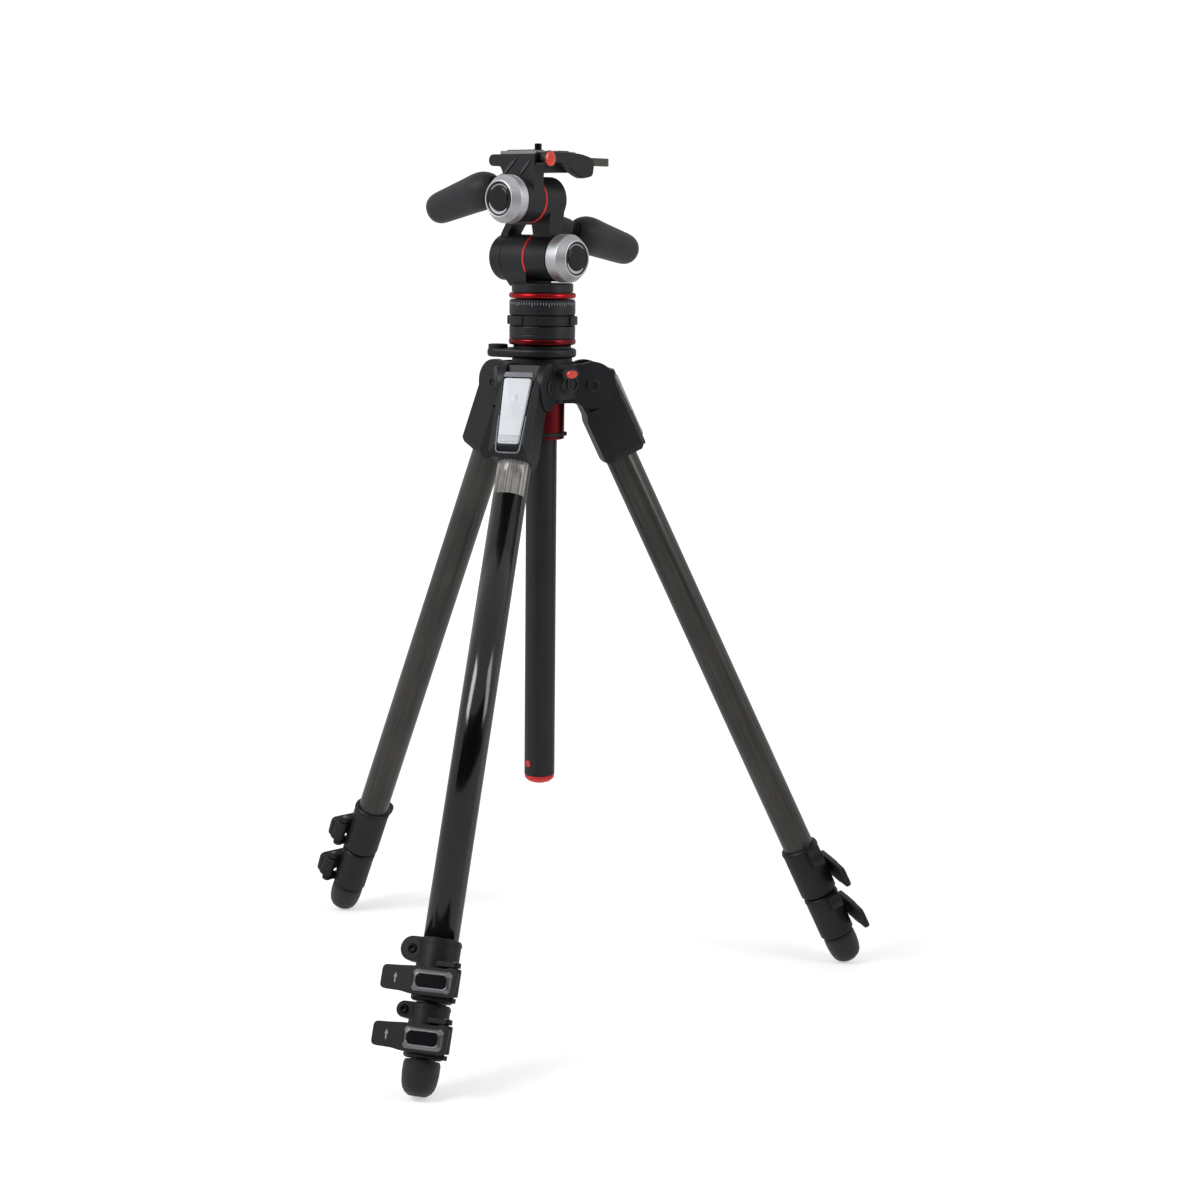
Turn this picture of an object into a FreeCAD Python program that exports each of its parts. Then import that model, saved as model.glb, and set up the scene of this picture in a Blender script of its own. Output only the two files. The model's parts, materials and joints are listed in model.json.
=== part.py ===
import FreeCAD, Part
import math
import os

import Sketcher

# A three-section camera tripod with a quick-release base and a three-way head.
# Frame: millimetres, +Z up, the floor at Z = 0, the first leg (leg_a) towards -Y.
# Each leg is drawn upright in its own frame: Z runs up the tube from the floor point,
# -Y is the outer side, X is across. The head is drawn with X along the roll axis and
# Y along the tilt axis. Placement expressions then put every sub-part in place.

Vector = FreeCAD.Vector
DOC = FreeCAD.newDocument("Tripod")

SIZES = [
    # alias, value, meaning
    ("column_x", -3.62, "column axis from the middle of the bounding box"),
    ("column_y", 64.81, "column axis from the middle of the bounding box"),
    ("leg_lean", 25.49, "angle between a leg and the vertical, degrees"),
    ("leg_pitch", 120.0, "angle between two legs, degrees"),
    ("foot_circle", 309.4, "radius of the circle where the leg axes meet the floor"),
    ("hinge_s", 620.4, "leg hinge, measured up the leg from the floor point"),
    ("hinge_out", 42.4, "leg hinge, from the column axis"),
    ("hinge_z", 560.0, "leg hinge, above the floor"),
    ("hinge_pin_r", 5.0, "leg hinge pin radius"),
    ("run_gap", 0.06, "radial gap of a running fit"),
    ("part_gap", 0.4, "gap between parts that pass each other"),
    ("wall_upper", 1.5, "wall of the carbon tubes"),
    ("upper_tube_r", 14.6, "upper leg tube, outer radius"),
    ("middle_tube_r", 12.4, "middle leg tube, outer radius"),
    ("lower_tube_r", 10.2, "lower leg tube, outer radius"),
    ("upper_tube_low", 113.0, "upper tube, lower end"),
    ("middle_tube_low", 60.0, "middle tube, lower end"),
    ("lower_tube_low", 12.0, "lower tube, lower end"),
    ("upper_tube_top", 590.0, "upper tube, top end"),
    ("middle_tube_top", 585.0, "middle and lower tubes, top end"),
    ("bush_length", 22.0, "sliding bush at the top of an inner tube"),
    ("foot_tip", 3.701, "foot, lower end"),
    ("foot_top", 33.0, "foot, upper end"),
    ("foot_r", 15.5, "foot, outer radius"),
    ("foot_round", 10.0, "foot, corner radius"),
    ("lower_clamp_low", 34.0, "lower clamp, lower end"),
    ("lower_clamp_top", 78.0, "lower clamp, upper end"),
    ("lower_clamp_r", 16.5, "lower clamp, outer radius"),
    ("upper_clamp_low", 80.0, "upper clamp, lower end"),
    ("upper_clamp_top", 131.0, "upper clamp, upper end"),
    ("upper_clamp_r", 17.6, "upper clamp, outer radius"),
    ("clamp_lip", 4.0, "height of the band below a lever"),
    ("lever_height", 24.0, "clamp lever, height"),
    ("lever_pin_x", 20.5, "clamp lever pin, across the leg"),
    ("lever_pin_out", 13.0, "clamp lever pin, outwards from the tube axis"),
    ("lever_pin_r", 2.0, "clamp lever pin radius"),
    ("lever_knuckle_r", 4.5, "clamp lever knuckle radius"),
    ("lever_tab_x", 38.0, "clamp lever, end of the thumb tab"),
    ("lever_face", 24.8, "clamp lever, outer face from the tube axis"),
    ("casting_low", 548.0, "leg casting, lower end"),
    ("casting_half", 18.8, "leg casting, half width"),
    ("casting_out", 23.5, "leg casting, outer face from the tube axis"),
    ("casting_in", 17.0, "leg casting, inner face from the tube axis"),
    ("lug_half", 14.5, "leg hinge lug, half width"),
    ("lug_r", 21.0, "leg hinge lug, outer radius"),
    ("lug_back_r", 16.0, "leg hinge lug, radius on the hub side"),
    ("ear_low", 15.0, "spider ear, inner face from the leg's middle plane"),
    ("ear_high", 21.0, "spider ear, outer face from the leg's middle plane"),
    ("catch_low", 561.0, "angle catch, lower end"),
    ("catch_top", 631.5, "angle catch, upper end"),
    ("catch_half_low", 10.5, "angle catch, half width at its lower end"),
    ("catch_half_top", 14.0, "angle catch, half width at its upper end"),
    ("catch_hinge_s", 626.0, "angle catch hinge, up the leg"),
    ("catch_hinge_out", 17.4, "angle catch hinge, outwards from the tube axis"),
    ("hub_r", 35.0, "spider hub radius between the legs"),
    ("hub_slot_r", 26.0, "spider hub radius behind a leg"),
    ("hub_low", 544.0, "spider, underside"),
    ("hub_top", 579.0, "spider, top face"),
    ("neck_r", 27.0, "spider neck radius"),
    ("neck_top", 583.7, "spider neck, top"),
    ("spigot_r", 18.0, "spider spigot that carries the level arm"),
    ("spigot_top", 594.6, "spider spigot, top"),
    ("socket_r", 4.7625, "accessory socket, 3/8 inch thread"),
    ("socket_depth", 11.0, "accessory socket depth"),
    ("socket_out", 41.0, "accessory socket mouth from the column axis"),
    ("socket_z", 562.0, "accessory socket height"),
    ("column_r", 13.9, "column tube radius"),
    ("column_wall", 1.6, "column tube wall"),
    ("column_low", 200.7, "column tube, lower end"),
    ("cap_low", 192.4, "column end cap, lowest point"),
    ("sleeve_r", 20.5, "column sleeve radius"),
    ("sleeve_low", 511.0, "column sleeve, lower end"),
    ("level_low", 584.0, "level arm, underside"),
    ("level_top", 595.1, "level arm, top"),
    ("level_r", 30.0, "level arm ring radius"),
    ("level_lobe_low", 587.0, "level arm lobe, underside"),
    ("level_lobe_out", 39.5, "level arm lobe centre from the column axis"),
    ("level_lobe_r", 9.5, "level arm lobe radius"),
    ("level_cup_top", 598.0, "level arm, top of the vial cup"),
    ("level_turn", -71.5, "direction of the level arm's lobe, degrees"),
    ("head_turn", -113.5, "turn of the head's frame about the column, degrees"),
    ("base_low", 595.5, "quick-release base, underside"),
    ("base_step", 601.0, "quick-release base, top of its red ring"),
    ("base_top", 612.4, "quick-release base, top of the cup"),
    ("base_r", 29.5, "quick-release base radius"),
    ("ring_r", 30.0, "red ring radius"),
    ("stud_r", 4.7625, "mounting stud, 3/8 inch thread"),
    ("lock_low", 612.7, "lock ring, underside"),
    ("lock_top", 621.4, "lock ring, top"),
    ("lock_lobe_r", 31.7, "lock ring radius over its lobes"),
    ("pan_low", 621.8, "pan base, underside"),
    ("pan_top", 635.6, "pan base, top"),
    ("pan_ring_top", 642.4, "red pan ring, top"),
    ("disc_top", 650.0, "pan housing disc, top"),
    ("disc_r", 27.5, "pan housing disc radius"),
    ("pan_knob_turn", -150.0, "direction of the pan lock knob, degrees"),
    ("pan_knob_z", 628.7, "pan lock knob height"),
    ("tilt_z", 672.0, "tilt axis height"),
    ("roll_z", 723.0, "roll axis height"),
    ("barrel_r", 20.5, "tilt barrel radius"),
    ("roll_barrel_r", 20.0, "roll barrel radius"),
    ("shaft_r", 6.0, "tilt and roll shaft radius"),
    ("knob_r", 21.0, "friction knob radius"),
    ("yoke_half", 9.0, "tilt yoke half thickness"),
    ("tilt_handle_drop", 12.95, "tilt handle's slope below level, degrees"),
    ("tilt_handle_z", 704.0, "tilt handle axis height at the roll axis plane"),
    ("tilt_handle_v", 7.5, "tilt handle offset along the tilt axis"),
    ("roll_handle_drop", 16.17, "roll handle's slope below level, degrees"),
    ("roll_handle_z", 745.0, "roll handle axis height at the tilt axis plane"),
    ("roll_handle_u", 25.0, "roll handle offset along the roll axis"),
    ("grip_start", 35.0, "handle grip, neck end along the handle"),
    ("grip_end", 117.0, "handle grip, outer end along the handle"),
    ("grip_r", 17.0, "handle grip, largest radius"),
    ("grip_end_r", 13.6, "handle grip, radius near its outer end"),
    ("rod_r", 5.0, "handle rod radius"),
    ("plate_top", 765.0, "camera plate, top"),
    ("plate_low", 757.6, "camera plate, underside"),
    ("plate_u", 3.0, "camera plate centre along the roll axis"),
    ("plate_v", -3.6, "camera plate centre along the tilt axis"),
    ("plate_length", 53.0, "camera plate, along the roll axis"),
    ("plate_width", 42.0, "camera plate, along the tilt axis"),
    ("deck_top", 762.0, "platform, top face"),
    ("deck_low", 751.8, "platform, underside"),
    ("screw_r", 3.175, "camera screw, 1/4 inch thread"),
    ("screw_neck_r", 2.6, "camera screw, neck between its head and its thread"),
    ("screw_top", 772.0, "camera screw, top"),
    ("lever_pivot_u", 24.0, "plate lever pivot along the roll axis"),
    ("lever_pivot_v", 23.7, "plate lever pivot along the tilt axis"),
    ("lever_end_r", 4.7, "plate lever, radius of its pivot end"),
]


class Dim:
    """A size from the sheet: its value, and the expression that gives it."""

    def __init__(self, value, text):
        self.value = value
        self.text = text

    def __add__(self, other):
        other = as_dim(other)
        return Dim(self.value + other.value, f"({self.text} + {other.text})")

    def __radd__(self, other):
        return as_dim(other) + self

    def __neg__(self):
        return Dim(-self.value, f"(0 - {self.text})")

    def __sub__(self, other):
        return self + (-as_dim(other))

    def __rsub__(self, other):
        return as_dim(other) - self

    def __mul__(self, other):
        other = as_dim(other)
        return Dim(self.value * other.value, f"({self.text} * {other.text})")

    __rmul__ = __mul__


class Sheet:
    """Every driving dimension, by its alias."""


def as_dim(number):
    if isinstance(number, Dim):
        return number
    return Dim(float(number), f"({float(number)!r})")


def sin_of(angle):
    return Dim(math.sin(math.radians(angle.value)), f"sin({angle.text})")


def cos_of(angle):
    return Dim(math.cos(math.radians(angle.value)), f"cos({angle.text})")


def fill_sheet():
    """Write the sizes into a spreadsheet and return them as Dims."""
    sheet = DOC.addObject("Spreadsheet::Sheet", "Sizes")
    sizes = Sheet()
    for row, (alias, value, meaning) in enumerate(SIZES, start=1):
        sheet.set(f"A{row}", meaning)
        sheet.set(f"B{row}", str(value))
        sheet.setAlias(f"B{row}", alias)
        setattr(sizes, alias, Dim(value, f"Sizes.{alias}"))
    DOC.recompute()
    return sizes


D = fill_sheet()
SUBPARTS = []


# ---------------------------------------------------------------- placing

def move(x, y, z):
    x, y, z = as_dim(x), as_dim(y), as_dim(z)
    spot = f"vector({x.text}; {y.text}; {z.text})"
    return f"placement({spot}; rotation(vector(0; 0; 1); 0))"


def turn(axis, angle):
    spin = f"rotation(vector({axis}); {as_dim(angle).text})"
    return f"placement(vector(0; 0; 0); {spin})"


X_AXIS = "1; 0; 0"
Y_AXIS = "0; 1; 0"
Z_AXIS = "0; 0; 1"


def place(item, steps):
    item.setExpression("Placement", " * ".join(steps))
    return item


def at_column():
    return [move(D.column_x, D.column_y, 0)]


def on_leg(angle):
    return at_column() + [
        turn(Z_AXIS, angle),
        move(0, -D.foot_circle, 0),
        turn(X_AXIS, -D.leg_lean),
    ]


def on_head():
    return at_column() + [turn(Z_AXIS, D.head_turn)]


def sub_part(label, item, steps):
    """Name a finished sub-part, place it and keep it for export."""
    item.Label = label
    place(item, steps)
    SUBPARTS.append(item)
    return item


# ---------------------------------------------------------------- shaping

def new_sketch(body, role):
    sketch = body.newObject("Sketcher::SketchObject", "Sketch")
    plane = [f for f in body.Origin.OriginFeatures if f.Role == role][0]
    sketch.AttachmentSupport = [(plane, "")]
    sketch.MapMode = "FlatFace"
    return sketch


def arc_between(start, end, radius):
    """The minor arc from start to end: anticlockwise for a positive radius."""
    first, last = (start, end) if radius > 0 else (end, start)
    chord = last - first
    middle = (first + last) * 0.5
    left = Vector(-chord.y, chord.x, 0).normalize()
    rise = math.sqrt(max(radius * radius - chord.Length * chord.Length / 4, 0.0))
    centre = middle + left * rise
    begin = math.atan2(first.y - centre.y, first.x - centre.x)
    finish = math.atan2(last.y - centre.y, last.x - centre.x)
    circle = Part.Circle(centre, Vector(0, 0, 1), abs(radius))
    return Part.ArcOfCircle(circle, begin, finish)


def pin_point(sketch, edge, end, axis, dim):
    """Hold one coordinate of a sketch vertex at a size from the sheet."""
    if dim.value == 0.0:
        line = -2 if axis == "X" else -1
        sketch.addConstraint(Sketcher.Constraint("PointOnObject", edge, end, line))
        return
    rule = Sketcher.Constraint(f"Distance{axis}", -1, 1, edge, end, dim.value)
    number = sketch.addConstraint(rule)
    sketch.setExpression(f"Constraints[{number}]", dim.text)


def draw_outline(sketch, points):
    """A closed outline through (x, y) points; (x, y, radius) is reached by an arc."""
    spots = [(as_dim(p[0]), as_dim(p[1])) for p in points]
    radii = [as_dim(p[2]) if len(p) > 2 else None for p in points]
    count = len(points)
    ends = []
    for i in range(count):
        j = (i + 1) % count
        start = Vector(spots[i][0].value, spots[i][1].value, 0)
        end = Vector(spots[j][0].value, spots[j][1].value, 0)
        if radii[j] is None:
            edge = sketch.addGeometry(Part.LineSegment(start, end), False)
            ends.append((edge, 1, 2))
            continue
        edge = sketch.addGeometry(arc_between(start, end, radii[j].value), False)
        size = radii[j] if radii[j].value > 0 else -radii[j]
        rule = sketch.addConstraint(Sketcher.Constraint("Radius", edge, size.value))
        sketch.setExpression(f"Constraints[{rule}]", size.text)
        ends.append((edge, 1, 2) if radii[j].value > 0 else (edge, 2, 1))
    for i in range(count):
        edge, first, last = ends[i]
        following, begin, _ = ends[(i + 1) % count]
        join = Sketcher.Constraint("Coincident", edge, last, following, begin)
        sketch.addConstraint(join)
        pin_point(sketch, edge, first, "X", spots[i][0])
        pin_point(sketch, edge, first, "Y", spots[i][1])


def turned(points):
    """A solid of revolution about Z from an outline of (radius, height) points."""
    body = DOC.addObject("PartDesign::Body", "Turned")
    sketch = new_sketch(body, "XZ_Plane")
    draw_outline(sketch, points)
    feature = body.newObject("PartDesign::Revolution", "Revolution")
    feature.Profile = sketch
    feature.ReferenceAxis = (sketch, ["V_Axis"])
    feature.Angle = 360
    return body


def prism(role, points, low, high):
    """A straight solid: an outline in an origin plane, padded from low to high.

    XY_Plane pads along +Z, YZ_Plane along +X. XZ_Plane takes low and high as
    distances along -Y, which is the outer side of a leg.
    """
    body = DOC.addObject("PartDesign::Body", "Prism")
    sketch = new_sketch(body, role)
    draw_outline(sketch, points)
    low, high = as_dim(low), as_dim(high)
    sketch.AttachmentOffset = FreeCAD.Placement(Vector(0, 0, low.value), FreeCAD.Rotation())
    sketch.setExpression("AttachmentOffset.Base.z", low.text)
    pad = body.newObject("PartDesign::Pad", "Pad")
    pad.Profile = sketch
    pad.Length = high.value - low.value
    pad.setExpression("Length", (high - low).text)
    return body


def rod(radius, length, steps=()):
    """A plain cylinder along its own Z axis, put in place by placement steps."""
    item = DOC.addObject("Part::Cylinder", "Rod")
    item.setExpression("Radius", as_dim(radius).text)
    item.setExpression("Height", as_dim(length).text)
    if steps:
        place(item, list(steps))
    return item


def block(low, high):
    """A box between two corners."""
    item = DOC.addObject("Part::Box", "Block")
    for name, start, end in zip(("Length", "Width", "Height"), low, high):
        item.setExpression(name, (as_dim(end) - as_dim(start)).text)
    return place(item, [move(*low)])


def cut(base, *tools):
    item = DOC.addObject("Part::Cut", "Cut")
    item.Base = base
    item.Tool = tools[0] if len(tools) == 1 else join(*tools)
    return item


def join(*shapes):
    item = DOC.addObject("Part::MultiFuse", "Join")
    item.Shapes = list(shapes)
    item.Refine = True
    return item


def overlap(*shapes):
    item = DOC.addObject("Part::MultiCommon", "Overlap")
    item.Shapes = list(shapes)
    return item


def group(*shapes):
    """Separate solids kept in one sub-part."""
    item = DOC.addObject("Part::Compound", "Group")
    item.Links = list(shapes)
    return item


def cross_rod(radius, low, high, y, z):
    """A rod along X between low and high."""
    steps = [move(low, y, z), turn(Y_AXIS, 90)]
    return rod(radius, as_dim(high) - as_dim(low), steps)


def out_rod(radius, low, high, x, z):
    """A rod along -Y, from low to high outwards."""
    steps = [move(x, -as_dim(low), z), turn(X_AXIS, 90)]
    return rod(radius, as_dim(high) - as_dim(low), steps)


# ---------------------------------------------------------------- legs

def rubber_foot(name, steps):
    seat = D.lower_tube_r
    flat = D.foot_r - D.foot_round
    points = [
        (0, D.foot_tip),
        (flat, D.foot_tip),
        (D.foot_r, D.foot_tip + D.foot_round, D.foot_round),
        (D.foot_r, D.foot_top - 4),
        (D.foot_r - 1.2, D.foot_top),
        (seat, D.foot_top),
        (seat, D.lower_tube_low),
        (0, D.lower_tube_low),
    ]
    return sub_part(name, turned(points), steps)


def leg_tube(name, steps, radius, low, top, bush_r):
    """A carbon tube; an inner tube also carries its sliding bush at the top."""
    bore = radius - D.wall_upper
    tube = turned([(bore, low), (radius, low), (radius, top), (bore, top)])
    if bush_r is None:
        return sub_part(name, tube, steps)
    start = top - D.bush_length
    bush = turned([(radius, start), (bush_r, start), (bush_r, top), (radius, top)])
    return sub_part(name, group(tube, bush), steps)


def clamp_collar(name, steps, radius, low, top, outer_tube_r, inner_tube_r, seat_s):
    """A collar fixed on the outer tube, with lever lugs and a pinch ear."""
    slide = inner_tube_r + D.run_gap
    collar = turned([
        (slide, low),
        (radius - 1.5, low),
        (radius, low + 1.5),
        (radius, top - 1),
        (radius - 1, top),
        (outer_tube_r, top),
        (outer_tube_r, seat_s),
        (slide, seat_s),
    ])
    lug_low = low + D.clamp_lip - D.part_gap
    lever_top = low + D.clamp_lip + D.lever_height + D.part_gap
    spots = ((low, lug_low), (lever_top, lever_top + 4))
    lugs = [lever_lug(start, end) for start, end in spots]
    pin_length = (lever_top + 4) - low
    pin = rod(D.lever_pin_r, pin_length, [move(D.lever_pin_x, -D.lever_pin_out, low)])
    ear_z = (lever_top + top) * 0.5 + 1
    ear = pinch_ear(ear_z, radius, top - ear_z)
    whole = join(collar, *lugs, pin, ear)
    bore = rod(slide, seat_s - low + 1, [move(0, 0, low - 1)])
    seat = rod(outer_tube_r, top - seat_s + 1, [move(0, 0, seat_s)])
    return sub_part(name, cut(whole, bore, seat), steps)


def lever_lug(low, high):
    """A flat lug that holds one end of the lever's pin."""
    out = D.lever_pin_out
    disc = rod(D.lever_knuckle_r, high - low, [move(D.lever_pin_x, -out, low)])
    web = block((5, -(out + 4), low), (D.lever_pin_x, -(out - 4), high))
    return join(disc, web)


def pinch_ear(middle, radius, half):
    """The rounded ear for the pinch screw, beside the thumb tab."""
    reach = radius + 1.5
    disc = out_rod(half, 1, 12.5, -reach, middle)
    web = block((-reach, -12.5, middle - half), (-(radius - 9), -1, middle + half))
    return join(disc, web)


def clamp_lever(name, steps, radius, low):
    """A clamp lever: a faceted band across the front with a thumb tab."""
    inner = radius + 0.8
    face = D.lever_face
    tab = -D.lever_tab_x
    pin_x = D.lever_pin_x
    pin_out = D.lever_pin_out
    base = low + D.clamp_lip
    top = base + D.lever_height
    plan = [
        (pin_x + D.lever_knuckle_r, -pin_out),
        (pin_x + D.lever_knuckle_r, -(pin_out - 0.2)),
        (17, -(pin_out - 0.2)),
        (16, -inner),
        (-19, -inner),
        (-24, -(inner + 0.6)),
        (tab + 1.5, -(inner + 0.6)),
        (tab, -(inner + 2)),
        (tab + 1, -(face - 1.6)),
        (-25, -(face - 1)),
        (-20, -face),
        (21, -face),
        (pin_x + D.lever_knuckle_r, -(face - 5)),
    ]
    side = [
        (-1, base),
        (-(face - 2.4), base),
        (-(face + 1), base + 4.8),
        (-(face + 1), top - 4.2),
        (-(face - 2.2), top),
        (-1, top),
    ]
    band = overlap(
        prism("XY_Plane", plan[::-1], base, top),
        prism("YZ_Plane", side, tab - 1, pin_x + 9),
    )
    knuckle = rod(D.lever_knuckle_r, D.lever_height, [move(pin_x, -pin_out, base)])
    hole = rod(
        D.lever_pin_r + D.run_gap,
        D.lever_height + 2,
        [move(pin_x, -pin_out, base - 1)],
    )
    return sub_part(name, cut(join(band, knuckle), hole), steps)


def hinge_outline():
    """Side outline of the leg casting, as (outwards, up the leg)."""
    out = D.casting_out
    hinge = D.hinge_s
    rise = sin_of(as_dim(49))
    run = cos_of(as_dim(49))
    back = D.lug_back_r
    return [
        (-(D.casting_in - 1.5), D.casting_low),
        (17.9, D.casting_low),
        (out - 0.6, D.casting_low + 6),
        (out, D.casting_low + 10),
        (out, hinge - 28),
        (out - 0.9, hinge - 10),
        (D.lug_r, hinge, 60),
        (D.lug_r * run, hinge + D.lug_r * rise, D.lug_r),
        (back * run, hinge + back * rise),
        (0, hinge + back, back),
        (-back, hinge, back),
        (-(D.casting_in - 2), hinge - 24),
        (-D.casting_in, hinge - 30),
        (-D.casting_in, D.casting_low + 4),
    ]


def flip(points):
    """Turn (outwards, up) points into (y, z) points, keeping arcs and direction."""
    mirrored = [(-as_dim(p[0]), as_dim(p[1])) for p in points]
    count = len(points)
    turned_round = []
    for i in reversed(range(count)):
        arc = points[(i + 1) % count][2:]
        turned_round.append(mirrored[i] + tuple(arc))
    return turned_round


def wedge(side, front, low, high):
    """The solid common to a side outline across X and a front outline outwards."""
    across = prism("YZ_Plane", flip(side), low, high)
    outwards = prism("XZ_Plane", front, -30, 40)
    return overlap(across, outwards)


def leg_casting(name, steps):
    """The top casting: tube socket, hinge lug and the recess of the angle catch."""
    half = D.casting_half
    hinge = D.hinge_s
    top = hinge + D.lug_r + 2
    front = [
        (-(half - 2.5), D.casting_low),
        (half - 2.5, D.casting_low),
        (half, D.casting_low + 6),
        (half, hinge - 8),
        (half - 1.5, top),
        (-(half - 1.5), top),
        (-half, hinge - 8),
        (-half, D.casting_low + 6),
    ]
    plan = [
        (-(half - 7), -(D.casting_out + 1)),
        (half - 7, -(D.casting_out + 1)),
        (half + 1, -(D.casting_out - 4.5)),
        (half + 1, 6),
        (half - 8, D.casting_in + 1),
        (-(half - 8), D.casting_in + 1),
        (-(half + 1), 6),
        (-(half + 1), -(D.casting_out - 4.5)),
    ]
    body = overlap(
        wedge(hinge_outline(), front, -(half + 1), half + 1),
        prism("XY_Plane", plan, D.casting_low - 1, top),
    )
    ear_r = D.lug_r + D.part_gap
    room = []
    for low, high in ((D.lug_half, half + 2), (-(half + 2), -D.lug_half)):
        room.append(cross_rod(ear_r, low, high, 0, hinge))
        room.append(block((low, -8, hinge - 12), (high, 30, hinge + 30)))
        room.append(block((low, 0, hinge - ear_r), (high, 30, hinge)))
    socket = rod(D.upper_tube_r, D.upper_tube_top - D.casting_low + 1, [move(0, 0, D.casting_low - 1)])
    pin = cross_rod(D.hinge_pin_r + D.run_gap, -(half + 2), half + 2, 0, hinge)
    return sub_part(name, cut(body, socket, pin, catch_recess(), *room), steps)


def catch_recess():
    """The pocket under the angle catch."""
    floor = D.casting_out - 1.7
    low = D.catch_low - 1.6
    hinge = D.hinge_s
    side = [
        (floor, low),
        (40, low),
        (40, hinge + 40),
        (13.2, hinge + 40),
        (13.2, hinge + 9),
        (13.2, hinge + 1),
        (19.5, hinge - 5),
        (floor, hinge - 14),
    ]
    low_half = D.catch_half_low + 0.6
    top_half = D.catch_half_top + 0.6
    front = [
        (-low_half, low - 1),
        (low_half, low - 1),
        (top_half, hinge + 5),
        (top_half, hinge + 41),
        (-top_half, hinge + 41),
        (-top_half, hinge + 5),
    ]
    return wedge(side, front, -25, 25)


def angle_catch(name, steps):
    """The silver tab that releases the leg angle, with its hinge knuckle."""
    low = D.catch_low
    top = D.catch_top
    outer = D.casting_out + 1.9
    side = [
        (D.casting_out - 1.2, low),
        (outer - 0.6, low),
        (outer, low + 2),
        (outer, low + 46),
        (19.6, top, 45),
        (16.8, top),
        (D.casting_out - 1.2, low + 48, -60),
    ]
    low_half = D.catch_half_low
    top_half = D.catch_half_top
    front = [
        (-(low_half - 2), low - 1),
        (low_half - 2, low - 1),
        (low_half, low + 2),
        (top_half, top - 6),
        (top_half - 2, top + 1),
        (-(top_half - 2), top + 1),
        (-top_half, top - 6),
        (-low_half, low + 2),
    ]
    plate = wedge(side, front, -16, 16)
    knuckle = cross_rod(2.2, -(top_half - 2), top_half - 2, -D.catch_hinge_out, D.catch_hinge_s)
    return sub_part(name, join(plate, knuckle), steps)


def leg(letter, angle):
    """All the sub-parts of one leg."""
    steps = on_leg(angle)
    rubber_foot(f"foot_{letter}", steps)
    upper_bore = D.upper_tube_r - D.wall_upper
    middle_bore = D.middle_tube_r - D.wall_upper
    leg_tube(f"lower_tube_{letter}", steps, D.lower_tube_r, D.lower_tube_low,
             D.middle_tube_top, middle_bore - D.run_gap)
    leg_tube(f"middle_tube_{letter}", steps, D.middle_tube_r, D.middle_tube_low,
             D.middle_tube_top, upper_bore - D.run_gap)
    leg_tube(f"upper_tube_{letter}", steps, D.upper_tube_r, D.upper_tube_low,
             D.upper_tube_top, None)
    clamp_collar(f"lower_clamp_{letter}", steps, D.lower_clamp_r, D.lower_clamp_low,
                 D.lower_clamp_top, D.middle_tube_r, D.lower_tube_r, D.middle_tube_low)
    clamp_collar(f"upper_clamp_{letter}", steps, D.upper_clamp_r, D.upper_clamp_low,
                 D.upper_clamp_top, D.upper_tube_r, D.middle_tube_r, D.upper_tube_low)
    clamp_lever(f"lower_lever_{letter}", steps, D.lower_clamp_r, D.lower_clamp_low)
    clamp_lever(f"upper_lever_{letter}", steps, D.upper_clamp_r, D.upper_clamp_low)
    leg_casting(f"leg_casting_{letter}", steps)
    angle_catch(f"angle_catch_{letter}", steps)


# ---------------------------------------------------------------- spider and column

def leg_angles():
    return (("a", as_dim(0)), ("b", -D.leg_pitch), ("c", D.leg_pitch))


def spider_ear(low, high):
    """One ear beside a leg hinge, drawn for the leg towards -Y."""
    disc = cross_rod(D.lug_r, low, high, -D.hinge_out, D.hinge_z)
    web = block((low, -D.hinge_out, D.hub_low), (high, -8, D.hub_top))
    return join(disc, web)


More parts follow.
